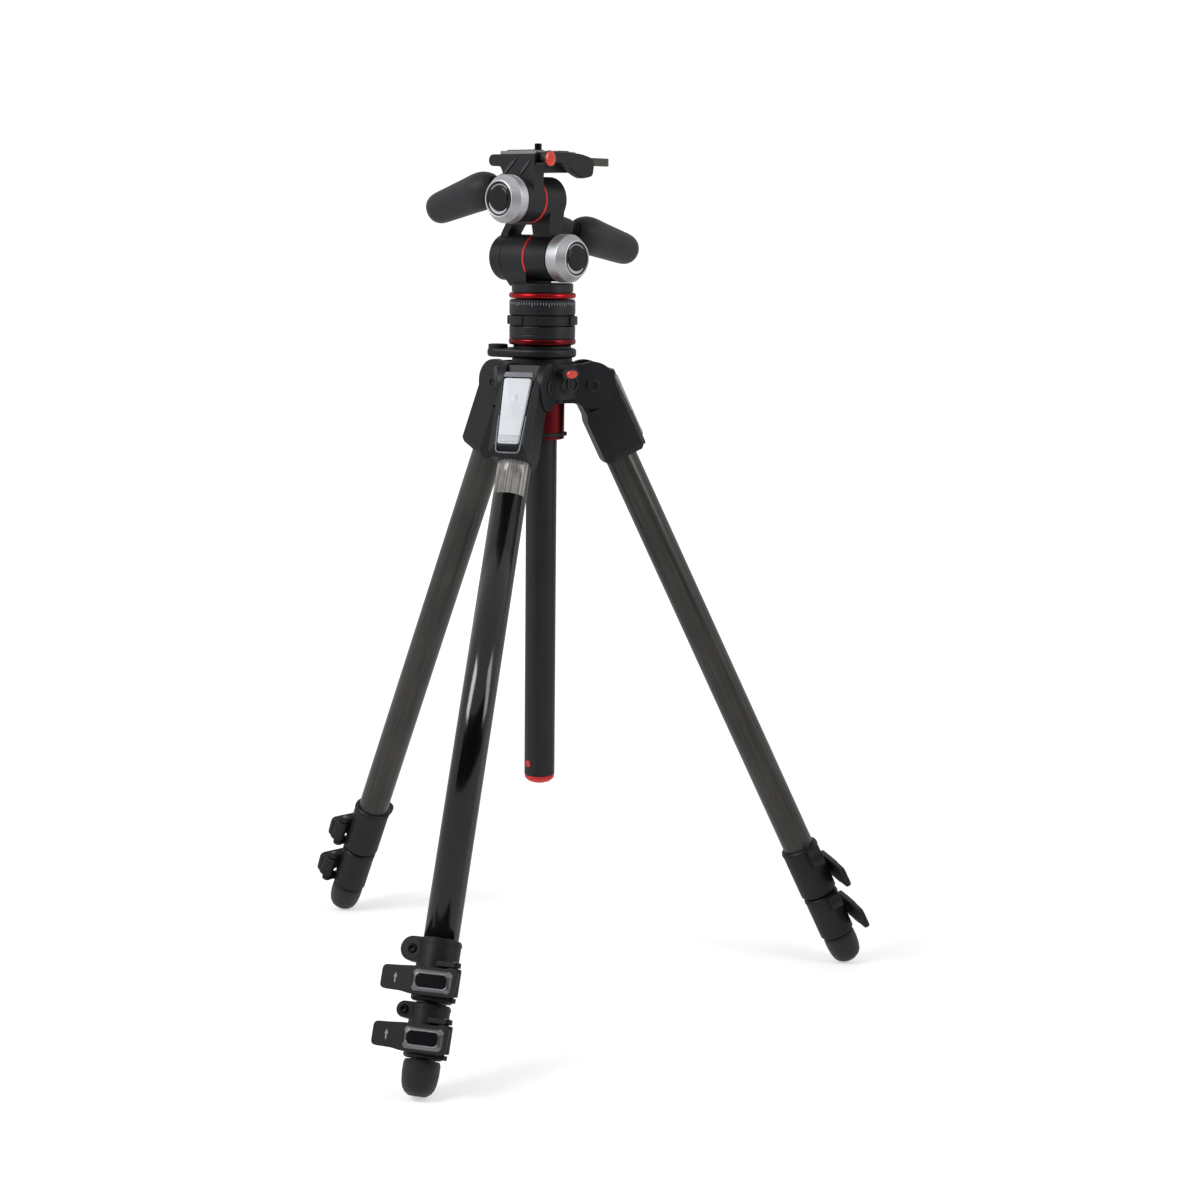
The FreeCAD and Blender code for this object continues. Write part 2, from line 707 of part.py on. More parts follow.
def spider():
    """The hub: ears and slots for three legs, neck, level spigot and socket boss."""
    hub = rod(D.hub_r, D.hub_top - D.hub_low - 4, [move(0, 0, D.hub_low + 4)])
    ears = []
    slots = []
    for _, angle in leg_angles():
        aim = [turn(Z_AXIS, angle)]
        for low, high in ((D.ear_low, D.ear_high), (-D.ear_high, -D.ear_low)):
            ears.append(place(spider_ear(low, high), aim))
        reach = D.hinge_out + 30
        slot = block((-D.ear_low, -reach, 500), (D.ear_low, 0, D.neck_top))
        slots.append(place(slot, aim + [move(-D.ear_low, -reach, 500)]))
    outer = cut(join(hub, *ears), *slots)
    core = rod(D.hub_slot_r, D.hub_top - D.hub_low, [move(0, 0, D.hub_low)])
    neck = rod(D.neck_r, D.neck_top - D.hub_top + 2, [move(0, 0, D.hub_top - 2)])
    spigot = rod(D.spigot_r, D.spigot_top - D.neck_top + 1, [move(0, 0, D.neck_top - 1)])
    socket_aim = [turn(Z_AXIS, -0.5 * D.leg_pitch)]
    boss_length = D.socket_out - D.hub_slot_r + 4
    boss = rod(8.5, boss_length, socket_aim + [
        move(0, -(D.hub_slot_r - 4), D.socket_z), turn(X_AXIS, 90)])
    knob_aim = [turn(Z_AXIS, 180)]
    knob_boss = rod(8, 16, knob_aim + [move(0, -22, D.socket_z), turn(X_AXIS, 90)])
    solid = join(outer, core, neck, spigot, boss, knob_boss)
    bore = rod(D.column_r + D.run_gap, 120, [move(0, 0, 500)])
    pin_holes = []
    for _, angle in leg_angles():
        hole = cross_rod(D.hinge_pin_r, -25, 25, -D.hinge_out, D.hinge_z)
        steps = [turn(Z_AXIS, angle), move(-25, -D.hinge_out, D.hinge_z), turn(Y_AXIS, 90)]
        pin_holes.append(place(hole, steps))
    socket = rod(D.socket_r, D.socket_depth + 1, socket_aim + [
        move(0, -(D.socket_out - D.socket_depth), D.socket_z), turn(X_AXIS, 90)])
    screw_hole = rod(3 + D.run_gap, 30, knob_aim + [
        move(0, -(D.column_r + 1.5), D.socket_z), turn(X_AXIS, 90)])
    return sub_part("spider", cut(solid, bore, socket, screw_hole, *pin_holes), at_column())


def leg_pivot_pins():
    """Three hinge pins, one for each leg."""
    pins = []
    for _, angle in leg_angles():
        steps = [
            turn(Z_AXIS, angle),
            move(-D.ear_high, -D.hinge_out, D.hinge_z),
            turn(Y_AXIS, 90),
        ]
        pins.append(rod(D.hinge_pin_r, D.ear_high * 2, steps))
    return sub_part("leg_pivot_pins", group(*pins), at_column())


def column_lock_knob():
    """Lobed knob on a screw that clamps the column, at the back of the hub."""
    start = D.column_r + 2
    points = [
        (0, start),
        (3, start),
        (3, 38.6),
        (7, 38.6),
        (7, 41),
        (13, 42.5),
        (13.5, 51.5),
        (11, 54),
        (0, 54),
    ]
    knob = turned(points)
    lobes = []
    for step in range(5):
        lobes.append(rod(4.2, 10.5, [turn(Z_AXIS, 72 * step), move(12, 0, 42)]))
    steps = at_column() + [move(0, 0, D.socket_z), turn(X_AXIS, -90)]
    return sub_part("column_lock_knob", join(knob, *lobes), steps)


def column_sleeve():
    bore = D.column_r + D.run_gap
    low = D.sleeve_low
    points = [
        (bore, low),
        (D.sleeve_r - 1.5, low),
        (D.sleeve_r, low + 1.5),
        (D.sleeve_r, low + 4),
        (D.sleeve_r - 0.7, low + 4.6),
        (D.sleeve_r - 0.7, low + 7.8),
        (D.sleeve_r, low + 8.4),
        (D.sleeve_r, D.hub_low),
        (bore, D.hub_low),
    ]
    return sub_part("column_sleeve", turned(points), at_column())


def level_arm():
    """The ring that turns about the spigot, with the lobe that holds the vial."""
    inner = D.spigot_r + 0.3
    low = D.level_low
    top = D.level_top
    ring = turned([
        (inner, low),
        (D.level_r - 1, low),
        (D.level_r, low + 1),
        (D.level_r, top - 1.2),
        (D.level_r - 1.2, top),
        (inner, top),
    ])
    out = D.level_lobe_out
    lobe_low = D.level_lobe_low
    half = D.level_lobe_r
    height = top - lobe_low
    lobe = rod(half, height, [move(0, -out, lobe_low)])
    arm = block((-half, -out, lobe_low), (half, -inner - 1, top))
    cup = rod(half - 1, D.level_cup_top - top + 1, [move(0, -out, top - 1)])
    shoulder = block((-(half + 5), -(D.level_r - 2), lobe_low), (half + 5, -inner - 1, top))
    pocket = rod(half - 2.2, 6, [move(0, -out, D.level_cup_top - 5)])
    hole = rod(inner, 40, [move(0, 0, low - 5)])
    whole = join(ring, lobe, arm, cup, overlap(shoulder, rod(D.level_r, 60, [move(0, 0, low)])))
    steps = at_column() + [turn(Z_AXIS, D.level_turn)]
    return sub_part("level_arm", cut(whole, pocket, hole), steps)


def column_tube():
    bore = D.column_r - D.column_wall
    low = D.column_low
    top = D.base_low
    points = [(bore, low), (D.column_r, low), (D.column_r, top), (bore, top)]
    return sub_part("column_tube", turned(points), at_column())


def column_end_cap():
    plug = D.column_r - D.column_wall
    points = [
        (0, D.cap_low),
        (7, D.cap_low),
        (D.column_r - 0.4, D.column_low - 3.4, 14),
        (D.column_r - 0.4, D.column_low),
        (plug, D.column_low),
        (plug, D.column_low + 14),
        (0, D.column_low + 14),
    ]
    return sub_part("column_end_cap", turned(points), at_column())


def column_head():
    """The plug in the top of the column, with the disc the base stands on."""
    plug = D.column_r - D.column_wall
    disc = 22.0
    points = [
        (D.stud_r, D.base_low - 30),
        (plug, D.base_low - 30),
        (plug, D.base_low),
        (disc, D.base_low),
        (disc, D.base_step),
        (D.stud_r, D.base_step),
    ]
    return sub_part("column_head", turned(points), at_column())


def mounting_stud():
    steps = at_column() + [move(0, 0, D.base_low - 26)]
    return sub_part("mounting_stud", rod(D.stud_r, 36), steps)


def quick_base_ring():
    points = [
        (22, D.base_low),
        (D.ring_r - 1.2, D.base_low),
        (D.ring_r, D.base_low + 1.5),
        (D.ring_r, D.base_step - 1.3),
        (D.ring_r - 0.8, D.base_step),
        (22, D.base_step),
    ]
    return sub_part("quick_base_ring", turned(points), at_column())


def quick_base():
    """The cup screwed on the column's stud, with the spigot of the lock ring."""
    floor = D.base_step + 7.5
    points = [
        (D.stud_r, D.base_step),
        (D.base_r - 0.8, D.base_step),
        (D.base_r, D.base_step + 0.8),
        (D.base_r, D.base_top),
        (24, D.base_top),
        (24, D.lock_top - 3),
        (22.9, D.lock_top - 3),
        (22.9, floor),
        (D.stud_r, floor),
    ]
    return sub_part("quick_base", turned(points), at_column())


def quick_lock_ring():
    """The lugged ring that locks the head on the base."""
    low = D.lock_low
    top = D.lock_top
    outer = D.ring_r - 0.3
    ring = turned([
        (24.3, low),
        (outer - 0.6, low),
        (outer, low + 0.6),
        (outer, top - 0.6),
        (outer - 0.6, top),
        (24.3, top),
    ])
    lobe = turned([
        (25, low + 0.4),
        (D.lock_lobe_r - 0.6, low + 0.4),
        (D.lock_lobe_r, low + 1.2),
        (D.lock_lobe_r, top - 1.2),
        (D.lock_lobe_r - 0.6, top - 0.4),
        (25, top - 0.4),
    ])
    sectors = []
    for step in range(6):
        sector = block((-8, -40, low - 1), (8, -20, top + 1))
        sectors.append(place(sector, [turn(Z_AXIS, 60 * step + 27), move(-8, -40, low - 1)]))
    whole = join(ring, overlap(lobe, join(*sectors)))
    return sub_part("quick_lock_ring", whole, at_column())


# ---------------------------------------------------------------- head

def pan_base():
    """The scale ring that stays still while the head pans, and its catcher disc."""
    low = D.pan_low
    top = D.pan_top
    scale = turned([
        (6, low),
        (D.base_r - 0.8, low),
        (D.base_r, low + 0.8),
        (D.base_r, top - 1.5),
        (D.base_r - 1.2, top),
        (14, top),
        (14, D.pan_ring_top - 1),
        (6, D.pan_ring_top - 1),
    ])
    catcher = turned([
        (0, D.base_step + 7.9),
        (21, D.base_step + 7.9),
        (22.4, D.base_step + 9.5),
        (22.4, low),
        (0, low),
    ])
    boss = rod(6.5, 7, [
        turn(Z_AXIS, D.pan_knob_turn), move(0, -26, D.pan_knob_z), turn(X_AXIS, 90)])
    hole = rod(2.5 + D.run_gap, 30, [
        turn(Z_AXIS, D.pan_knob_turn), move(0, -15, D.pan_knob_z), turn(X_AXIS, 90)])
    return sub_part("pan_base", group(cut(join(scale, boss), hole), catcher), at_column())


def pan_lock_knob():
    points = [
        (0, 15.5),
        (2.5, 15.5),
        (2.5, 33.6),
        (6.5, 33.6),
        (7.4, 35),
        (7.4, 45),
        (6, 47),
        (0, 47),
    ]
    knob = turned(points)
    flutes = []
    for step in range(8):
        flutes.append(rod(1.3, 12, [turn(Z_AXIS, 45 * step), move(8.1, 0, 36.5)]))
    steps = at_column() + [
        turn(Z_AXIS, D.pan_knob_turn),
        move(0, 0, D.pan_knob_z),
        turn(X_AXIS, 90),
    ]
    return sub_part("pan_lock_knob", cut(knob, *flutes), steps)


def pan_ring():
    low = D.pan_top + 0.3
    points = [
        (14.3, low),
        (D.ring_r - 1.8, low),
        (D.ring_r, low + 2),
        (D.ring_r, D.pan_ring_top - 2),
        (D.ring_r - 1.8, D.pan_ring_top),
        (14.3, D.pan_ring_top),
    ]
    return sub_part("pan_ring", turned(points), on_head())


def tilt_rod(radius, low, high, steps=()):
    """A rod along the tilt axis, from low to high along it."""
    length = as_dim(high) - as_dim(low)
    return rod(radius, length, [move(0, low, D.tilt_z), turn(X_AXIS, -90)] + list(steps))


def roll_rod(radius, low, high):
    """A rod along the roll axis, from low to high along it."""
    length = as_dim(high) - as_dim(low)
    return rod(radius, length, [move(low, 0, D.roll_z), turn(Y_AXIS, 90)])


def pan_housing():
    """The turntable disc and the middle of the tilt barrel."""
    disc = turned([
        (0, D.pan_ring_top),
        (D.disc_r, D.pan_ring_top),
        (D.disc_r, D.disc_top - 1.2),
        (D.disc_r - 1.2, D.disc_top),
        (0, D.disc_top),
    ])
    barrel = tilt_rod(D.barrel_r, -33.5, -4.6)
    neck = prism("YZ_Plane", [
        (-24, D.disc_top - 3),
        (-4.6, D.disc_top - 3),
        (-4.6, D.tilt_z),
        (-33.5, D.tilt_z),
        (-33.5, D.tilt_z - 12),
        (-30.5, D.disc_top + 4, 30),
    ], -17, 17)
    bore = tilt_rod(D.shaft_r + D.run_gap, -40, 0)
    return sub_part("pan_housing", cut(join(disc, barrel, neck), bore), on_head())


def tilt_yoke():
    """The yoke that straddles the housing and carries the roll barrel."""
    cap = turned([
        (0, 34),
        (D.barrel_r, 34),
        (D.barrel_r, 45.5),
        (D.barrel_r - 5, 50.2, 9),
        (0, 51),
    ])
    place(cap, [move(0, 0, D.tilt_z), turn(X_AXIS, 90)])
    drum = tilt_rod(D.barrel_r, -4, 20)
    barrel = roll_rod(D.roll_barrel_r, -D.yoke_half, 18)
    low = D.tilt_z + 6
    slab = prism("YZ_Plane", [
        (-46, low),
        (-34, low),
        (-34, D.tilt_z + 21.5),
        (-28.5, D.tilt_z + 29),
        (-5.5, D.tilt_z + 29),
        (-4, D.tilt_z + 21),
        (-4, low),
        (17, low),
        (16, D.tilt_z + 31),
        (17.5, D.roll_z - 8),
        (-18, D.roll_z - 8),
        (-22, D.roll_z - 12),
        (-33.5, D.tilt_z + 35),
        (-42.5, D.tilt_z + 21),
    ], -D.yoke_half, D.yoke_half)
    boss = rod(8.5, 20, tilt_handle_steps() + [move(0, 0, 4)])
    gap = tilt_rod(D.barrel_r + 0.6, -33.9, -4)
    shaft_hole = tilt_rod(D.shaft_r, -45, 30)
    roll_hole = roll_rod(D.shaft_r + D.run_gap, -4.5, 30)
    rod_hole = rod(D.rod_r + D.run_gap, 30, tilt_handle_steps() + [move(0, 0, 9.6)])
    whole = join(cap, drum, barrel, slab, boss)
    return sub_part("tilt_yoke", cut(whole, gap, shaft_hole, roll_hole, rod_hole), on_head())


def tilt_shaft():
    steps = on_head() + [move(0, -44.5, D.tilt_z), turn(X_AXIS, -90)]
    return sub_part("tilt_shaft", rod(D.shaft_r, 80.5), steps)


def roll_shaft():
    steps = on_head() + [move(-4, 0, D.roll_z), turn(Y_AXIS, 90)]
    return sub_part("roll_shaft", rod(D.shaft_r, 59), steps)


def friction_knob(name, start, length, steps):
    """A turned aluminium knob: plain rim, wide bevel and a recessed face."""
    edge = D.knob_r
    end = start + length
    points = [
        (D.shaft_r + D.run_gap, start),
        (edge - 1, start),
        (edge, start + 1),
        (edge, end - 7),
        (edge - 4.3, end - 0.8),
        (edge - 5.1, end),
        (edge - 6.3, end),
        (edge - 6.3, end - 1.5),
        (D.shaft_r + D.run_gap, end - 1.5),
    ]
    return sub_part(name, turned(points), on_head() + steps)


def tilt_handle_steps():
    """Z along the tilt handle, which leaves the yoke backwards."""
    angle = D.tilt_handle_drop + 90
    return [move(0, D.tilt_handle_v, D.tilt_handle_z), turn(Y_AXIS, -angle)]


def roll_handle_steps():
    """Z along the roll handle, which leaves the platform to one side."""
    angle = D.roll_handle_drop + 90
    return [move(D.roll_handle_u, 0, D.roll_handle_z), turn(X_AXIS, angle)]


def handle_rod(name, start, steps):
    points = [
        (0, start),
        (D.rod_r, start),
        (D.rod_r, D.grip_start - 9),
        (D.rod_r + 2.2, D.grip_start - 8),
        (D.rod_r + 2.2, D.grip_start - 1),
        (D.rod_r, D.grip_start - 0.5),
        (D.rod_r, D.grip_end - 8),
        (0, D.grip_end - 8),
    ]
    return sub_part(name, turned(points), on_head() + steps)


def handle_grip(name, steps):
    """The retracting grip: a neck, a full round and a long taper."""
    start = D.grip_start
    end = D.grip_end
    bore = D.rod_r + D.run_gap
    points = [
        (bore, start),
        (8.5, start),
        (12.5, start + 3.5),
        (D.grip_r, start + 16, 24),
        (D.grip_r - 0.4, start + 24, 40),
        (D.grip_end_r, end - 8),
        (D.grip_end_r - 3, end - 1.5, 8),
        (5, end, 30),
        (0, end),
        (0, end - 6),
        (bore, end - 6),
    ]
    return sub_part(name, turned(points), on_head() + steps)


def platform():
    """The roll barrel's front half, the neck and the deck for the camera plate."""
    barrel = roll_rod(D.roll_barrel_r, 18.8, 40)
    neck = prism("YZ_Plane", [
        (-18.5, D.roll_z + 6),
        (18.5, D.roll_z + 6),
        (17.5, D.deck_low - 9),
        (19, D.deck_low + 1),
        (-24, D.deck_low + 1),
        (-19, D.deck_low - 8, -14),
    ], 18.8, 32)
    deck = prism("YZ_Plane", [
        (18.6, D.deck_low),
        (18.6, D.deck_top),
        (-31, D.deck_top),
        (-36, D.deck_top - 5.1, 5.1),
        (-31, D.deck_low, 5.1),
    ], -31, 32)
    rib = block((-20, -17, D.deck_low - 5), (19, 17, D.deck_low + 1))
    hang = block((17, 18, D.deck_low), (31, 29, D.deck_low + 2.4))
    hang_pin = rod(2.5, D.deck_top - D.deck_low, [
        move(D.lever_pivot_u, D.lever_pivot_v, D.deck_low)])
    boss = rod(7.5, 14, roll_handle_steps() + [move(0, 0, 12)])
    whole = join(barrel, neck, deck, rib, boss, hang, hang_pin)
    half_u = D.plate_length * 0.5 + D.part_gap
    half_v = D.plate_width * 0.5 + D.part_gap
    seat = block(
        (D.plate_u - half_u, D.plate_v - half_v, D.plate_low),
        (D.plate_u + half_u, D.plate_v + half_v, D.plate_top + 1),
    )
    screw_room = rod(8, 10, [move(D.plate_u, D.plate_v, D.plate_low - 4.5)])
    shaft_hole = roll_rod(D.shaft_r, 10, 41)
    over_barrel = roll_rod(D.roll_barrel_r + 0.8, -40, 18.8)
    rod_hole = rod(D.rod_r + D.run_gap, 40, roll_handle_steps() + [move(0, 0, 11.6)])
    tools = (seat, screw_room, shaft_hole, over_barrel, rod_hole)
    return sub_part("platform", cut(whole, *tools), on_head())


def plate_lever():
    """The lever along the deck that locks the camera plate."""
    inner = 19.0
    outer = 29.0
    low = D.deck_low + 2.8
    top = D.deck_top - 0.3
    pivot_u = D.lever_pivot_u
    end_r = D.lever_end_r
    bar = prism("XY_Plane", [
        (-34, inner),
        (pivot_u, inner),
        (pivot_u, outer),
        (-26, outer),
        (-34, outer - 3.5),
    ], low, top)
    hump_top = D.plate_top - 0.6
    hump = prism("XZ_Plane", [
        (-10, top - 2),
        (pivot_u, top - 2),
        (pivot_u, hump_top),
        (-2, hump_top),
    ], -outer, -inner)
    round_end = rod(end_r, hump_top - low, [move(pivot_u, D.lever_pivot_v, low)])
    dip = prism("XZ_Plane", [
        (-34, D.deck_low - 8),
        (-22, D.deck_low - 10),
        (-9, D.deck_low - 6),
        (8, low + 0.5),
        (8, D.deck_top - 2),
        (-34, D.deck_top - 2),
    ], -outer, -inner)
    badge_seat = rod(6.8, 3.4, [
        move(pivot_u, outer - 3, D.deck_low + 6.2), turn(X_AXIS, -90)])
    hole = rod(2.5 + D.run_gap, 20, [move(pivot_u, D.lever_pivot_v, low - 1)])
    clear = block((pivot_u - 9, outer - 12, D.deck_low - 4), (pivot_u + 9, outer + 2, low))
    catch_room = block((-36, 21.7, D.deck_low + 2), (-26, 26.3, D.deck_low + 7.8))
    whole = join(bar, hump, round_end, dip, badge_seat)
    return sub_part("plate_lever", cut(whole, hole, clear, catch_room), on_head())


def plate_safety_catch():
    """The small grey tongue that stops the plate lever from opening by itself."""
    low = D.deck_low + 1.4
    tongue = prism("XY_Plane", [
        (-34.4, 21),
        (-34.4, 27),
        (-55, 27),
        (-61, 24),
        (-55, 21),
    ][::-1], low, low + 7)
    stem = block((-36, 22, D.deck_low + 2.4), (-26.4, 26, D.deck_low + 7.4))
    return sub_part("plate_safety_catch", join(tongue, stem), on_head())


def camera_plate():
    """The quick-release plate with dovetail edges and a slot for its screw."""
    half_u = D.plate_length * 0.5
    half_v = D.plate_width * 0.5
    u = D.plate_u
    v = D.plate_v
    low = D.plate_low + 0.2
    blank = prism("YZ_Plane", [
        (v - half_v + 1.6, low),
        (v + half_v - 1.6, low),
        (v + half_v, low + 4),
        (v + half_v, D.plate_top - 0.6),
        (v + half_v - 0.6, D.plate_top),
        (v - half_v + 0.6, D.plate_top),
        (v - half_v, D.plate_top - 0.6),
        (v - half_v, low + 4),
    ], u - half_u, u + half_u)
    pocket = rod(7.6, 5.2, [move(u, v, low - 0.1)])
    hole = rod(D.screw_r + D.run_gap, 20, [move(u, v, low)])
    return sub_part("camera_plate", cut(blank, pocket, hole), on_head())


def camera_screw():
    """The 1/4 inch screw with its slotted, knurled head."""
    low = D.plate_low + 0.5
    points = [
        (0, low),
        (7, low),
        (7, low + 4.2),
        (D.screw_neck_r, low + 4.2),
        (D.screw_neck_r, D.plate_top + 0.3),
        (D.screw_r, D.plate_top + 0.3),
        (D.screw_r, D.screw_top - 0.6),
        (D.screw_r - 0.6, D.screw_top),
        (0, D.screw_top),
    ]
    screw = turned(points)
    slot = block((-8, -0.8, low - 1), (8, 0.8, low + 1.4))
    steps = on_head() + [move(D.plate_u, D.plate_v, 0)]
    return sub_part("camera_screw", cut(screw, slot), steps)


def head():
    """All the sub-parts above the column."""
    quick_base_ring()
    quick_base()
    quick_lock_ring()
    pan_base()
    pan_lock_knob()
    pan_ring()
    pan_housing()
    tilt_yoke()
    tilt_shaft()
    tilt_knob_steps = [move(0, 0, D.tilt_z), turn(X_AXIS, -90)]
    friction_knob("tilt_friction_knob", as_dim(20.6), as_dim(20.2), tilt_knob_steps)
    handle_rod("tilt_handle_rod", as_dim(10), tilt_handle_steps())
    handle_grip("tilt_handle_grip", tilt_handle_steps())
    roll_shaft()
    roll_knob_steps = [move(0, 0, D.roll_z), turn(Y_AXIS, 90)]
    friction_knob("roll_friction_knob", as_dim(40.6), as_dim(17.4), roll_knob_steps)
    handle_rod("roll_handle_rod", as_dim(12), roll_handle_steps())
    handle_grip("roll_handle_grip", roll_handle_steps())
    platform()
    plate_lever()
    plate_safety_catch()
    camera_plate()
    camera_screw()


# ---------------------------------------------------------------- assembly

def check_document():
    """Stop if a feature failed or a sub-part has no valid solid."""
    bad = [i.Label for i in DOC.Objects if "Invalid" in i.State or "Error" in i.State]
    if bad:
        raise RuntimeError(f"failed: {bad}")
    for item in SUBPARTS:
        shape = item.Shape
        if shape.isNull() or not shape.isValid() or not shape.Solids:
            raise RuntimeError(f"{item.Label} has no valid solid")


def write_parts():
    os.makedirs("parts", exist_ok=True)
    for item in SUBPARTS:
        item.Shape.exportStep(os.path.join("parts", f"{item.Label}.step"))


def whole_box():
    box = FreeCAD.BoundBox()
    for item in SUBPARTS:
        box.add(item.Shape.BoundBox)
    return box


def main():
    for letter, angle in leg_angles():
        leg(letter, angle)
    spider()
    leg_pivot_pins()
    column_lock_knob()
    column_sleeve()
    level_arm()
    column_tube()
    column_end_cap()
    column_head()
    mounting_stud()
    head()
    DOC.recompute()
    check_document()
    write_parts()
    print(len(SUBPARTS), "sub-parts,", whole_box())


main()
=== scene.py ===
"""Three-section carbon tripod with a three-way head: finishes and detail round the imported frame.

Lengths in the pieces are millimetres in the frame of their own sub-assembly; a leg's frame
has Z up its tube and -Y outwards, and the head's frame has X along the roll axis and Y along
the tilt axis. Everything is turned to metres in the row frame when a mesh is made.
"""

from __future__ import annotations

import json
import logging
import math
from dataclasses import dataclass, field
from enum import Enum
from typing import Any, Iterable, Sequence

import bmesh
import bpy
from mathutils import Matrix, Vector

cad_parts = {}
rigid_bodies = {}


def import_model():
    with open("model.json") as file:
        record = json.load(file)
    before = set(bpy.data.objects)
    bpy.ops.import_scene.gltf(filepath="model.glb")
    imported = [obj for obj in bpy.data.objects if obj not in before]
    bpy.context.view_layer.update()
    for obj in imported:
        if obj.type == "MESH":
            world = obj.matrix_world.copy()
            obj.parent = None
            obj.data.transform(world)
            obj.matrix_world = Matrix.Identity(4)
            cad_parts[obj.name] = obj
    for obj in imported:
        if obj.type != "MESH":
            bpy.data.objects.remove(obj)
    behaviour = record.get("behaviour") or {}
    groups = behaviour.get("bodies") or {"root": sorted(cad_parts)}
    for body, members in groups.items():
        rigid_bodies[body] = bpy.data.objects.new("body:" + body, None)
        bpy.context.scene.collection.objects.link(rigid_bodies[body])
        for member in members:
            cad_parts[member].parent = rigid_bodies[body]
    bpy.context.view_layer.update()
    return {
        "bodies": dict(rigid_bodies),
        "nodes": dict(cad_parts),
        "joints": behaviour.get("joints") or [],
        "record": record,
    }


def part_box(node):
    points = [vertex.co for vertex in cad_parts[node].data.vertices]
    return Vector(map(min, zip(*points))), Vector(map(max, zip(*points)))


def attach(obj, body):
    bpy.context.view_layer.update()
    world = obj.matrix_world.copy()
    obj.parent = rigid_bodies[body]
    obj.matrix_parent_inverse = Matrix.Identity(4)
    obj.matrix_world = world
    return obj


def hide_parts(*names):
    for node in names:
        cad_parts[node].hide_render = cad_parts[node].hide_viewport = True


LOG = logging.getLogger("tripod")
MM = 0.001
LETTERS = ("a", "b", "c")
UP = (0, 0, 1)
ON_AXIS = 1e-6  # a radius below this, in millimetres, is a point on the axis
NO_REACH = 1e-4  # a corner round below this, in millimetres, is left out
MOST_REACH = 0.45  # the share of a side that one corner round may take
SHARP_ANGLE = 32.0  # edges that turn by more degrees than this are rounded
WELD_GAP = 0.004  # CAD points nearer than this, in millimetres, are joined
FLAT_ANGLE = 0.6  # CAD facets within so many degrees of each other are one face
Point = Sequence[float]


# ------------------------------------------------------------------ colour and nodes


def linear(hex_code: str) -> tuple[float, float, float, float]:
    """Turn an sRGB hex colour into linear red, green, blue and alpha.

    Args:
        hex_code: Colour such as "#1c1d1f".

    Returns:
        The four linear channels.
    """
    channels = [int(hex_code.lstrip("#")[i:i + 2], 16) / 255 for i in (0, 2, 4)]
    knee, slope, offset, gamma = 0.04045, 12.92, 0.055, 2.4  # the sRGB transfer curve
    straight = [
        c / slope if c <= knee else ((c + offset) / (1 + offset)) ** gamma for c in channels]
    return straight[0], straight[1], straight[2], 1.0


def add_node(
    tree: bpy.types.NodeTree,
    kind: str,
    settings: dict[str, Any] | None = None,
    sockets: dict[str | int, Any] | None = None,
) -> bpy.types.Node:
    """Add one node, set it up and link it.

    Args:
        tree: Node tree that takes the node.
        kind: Blender's node type, without the ShaderNode prefix.
        settings: Attributes of the node.
        sockets: Input by name or number; an output socket is linked, anything else is its value.

    Returns:
        The new node.
    """
    node = tree.nodes.new("ShaderNode" + kind)
    for name, value in (settings or {}).items():
        setattr(node, name, value)
    for name, value in (sockets or {}).items():
        if isinstance(value, bpy.types.NodeSocket):
            tree.links.new(value, node.inputs[name])
        else:
            node.inputs[name].default_value = value
    return node


class Pattern(Enum):
    """How the marks of a surface run, from the way that it was made."""

    GRAIN = "grain"
    TURNED = "turned"
    FIBRE = "fibre"
    BRUSHED = "brushed"


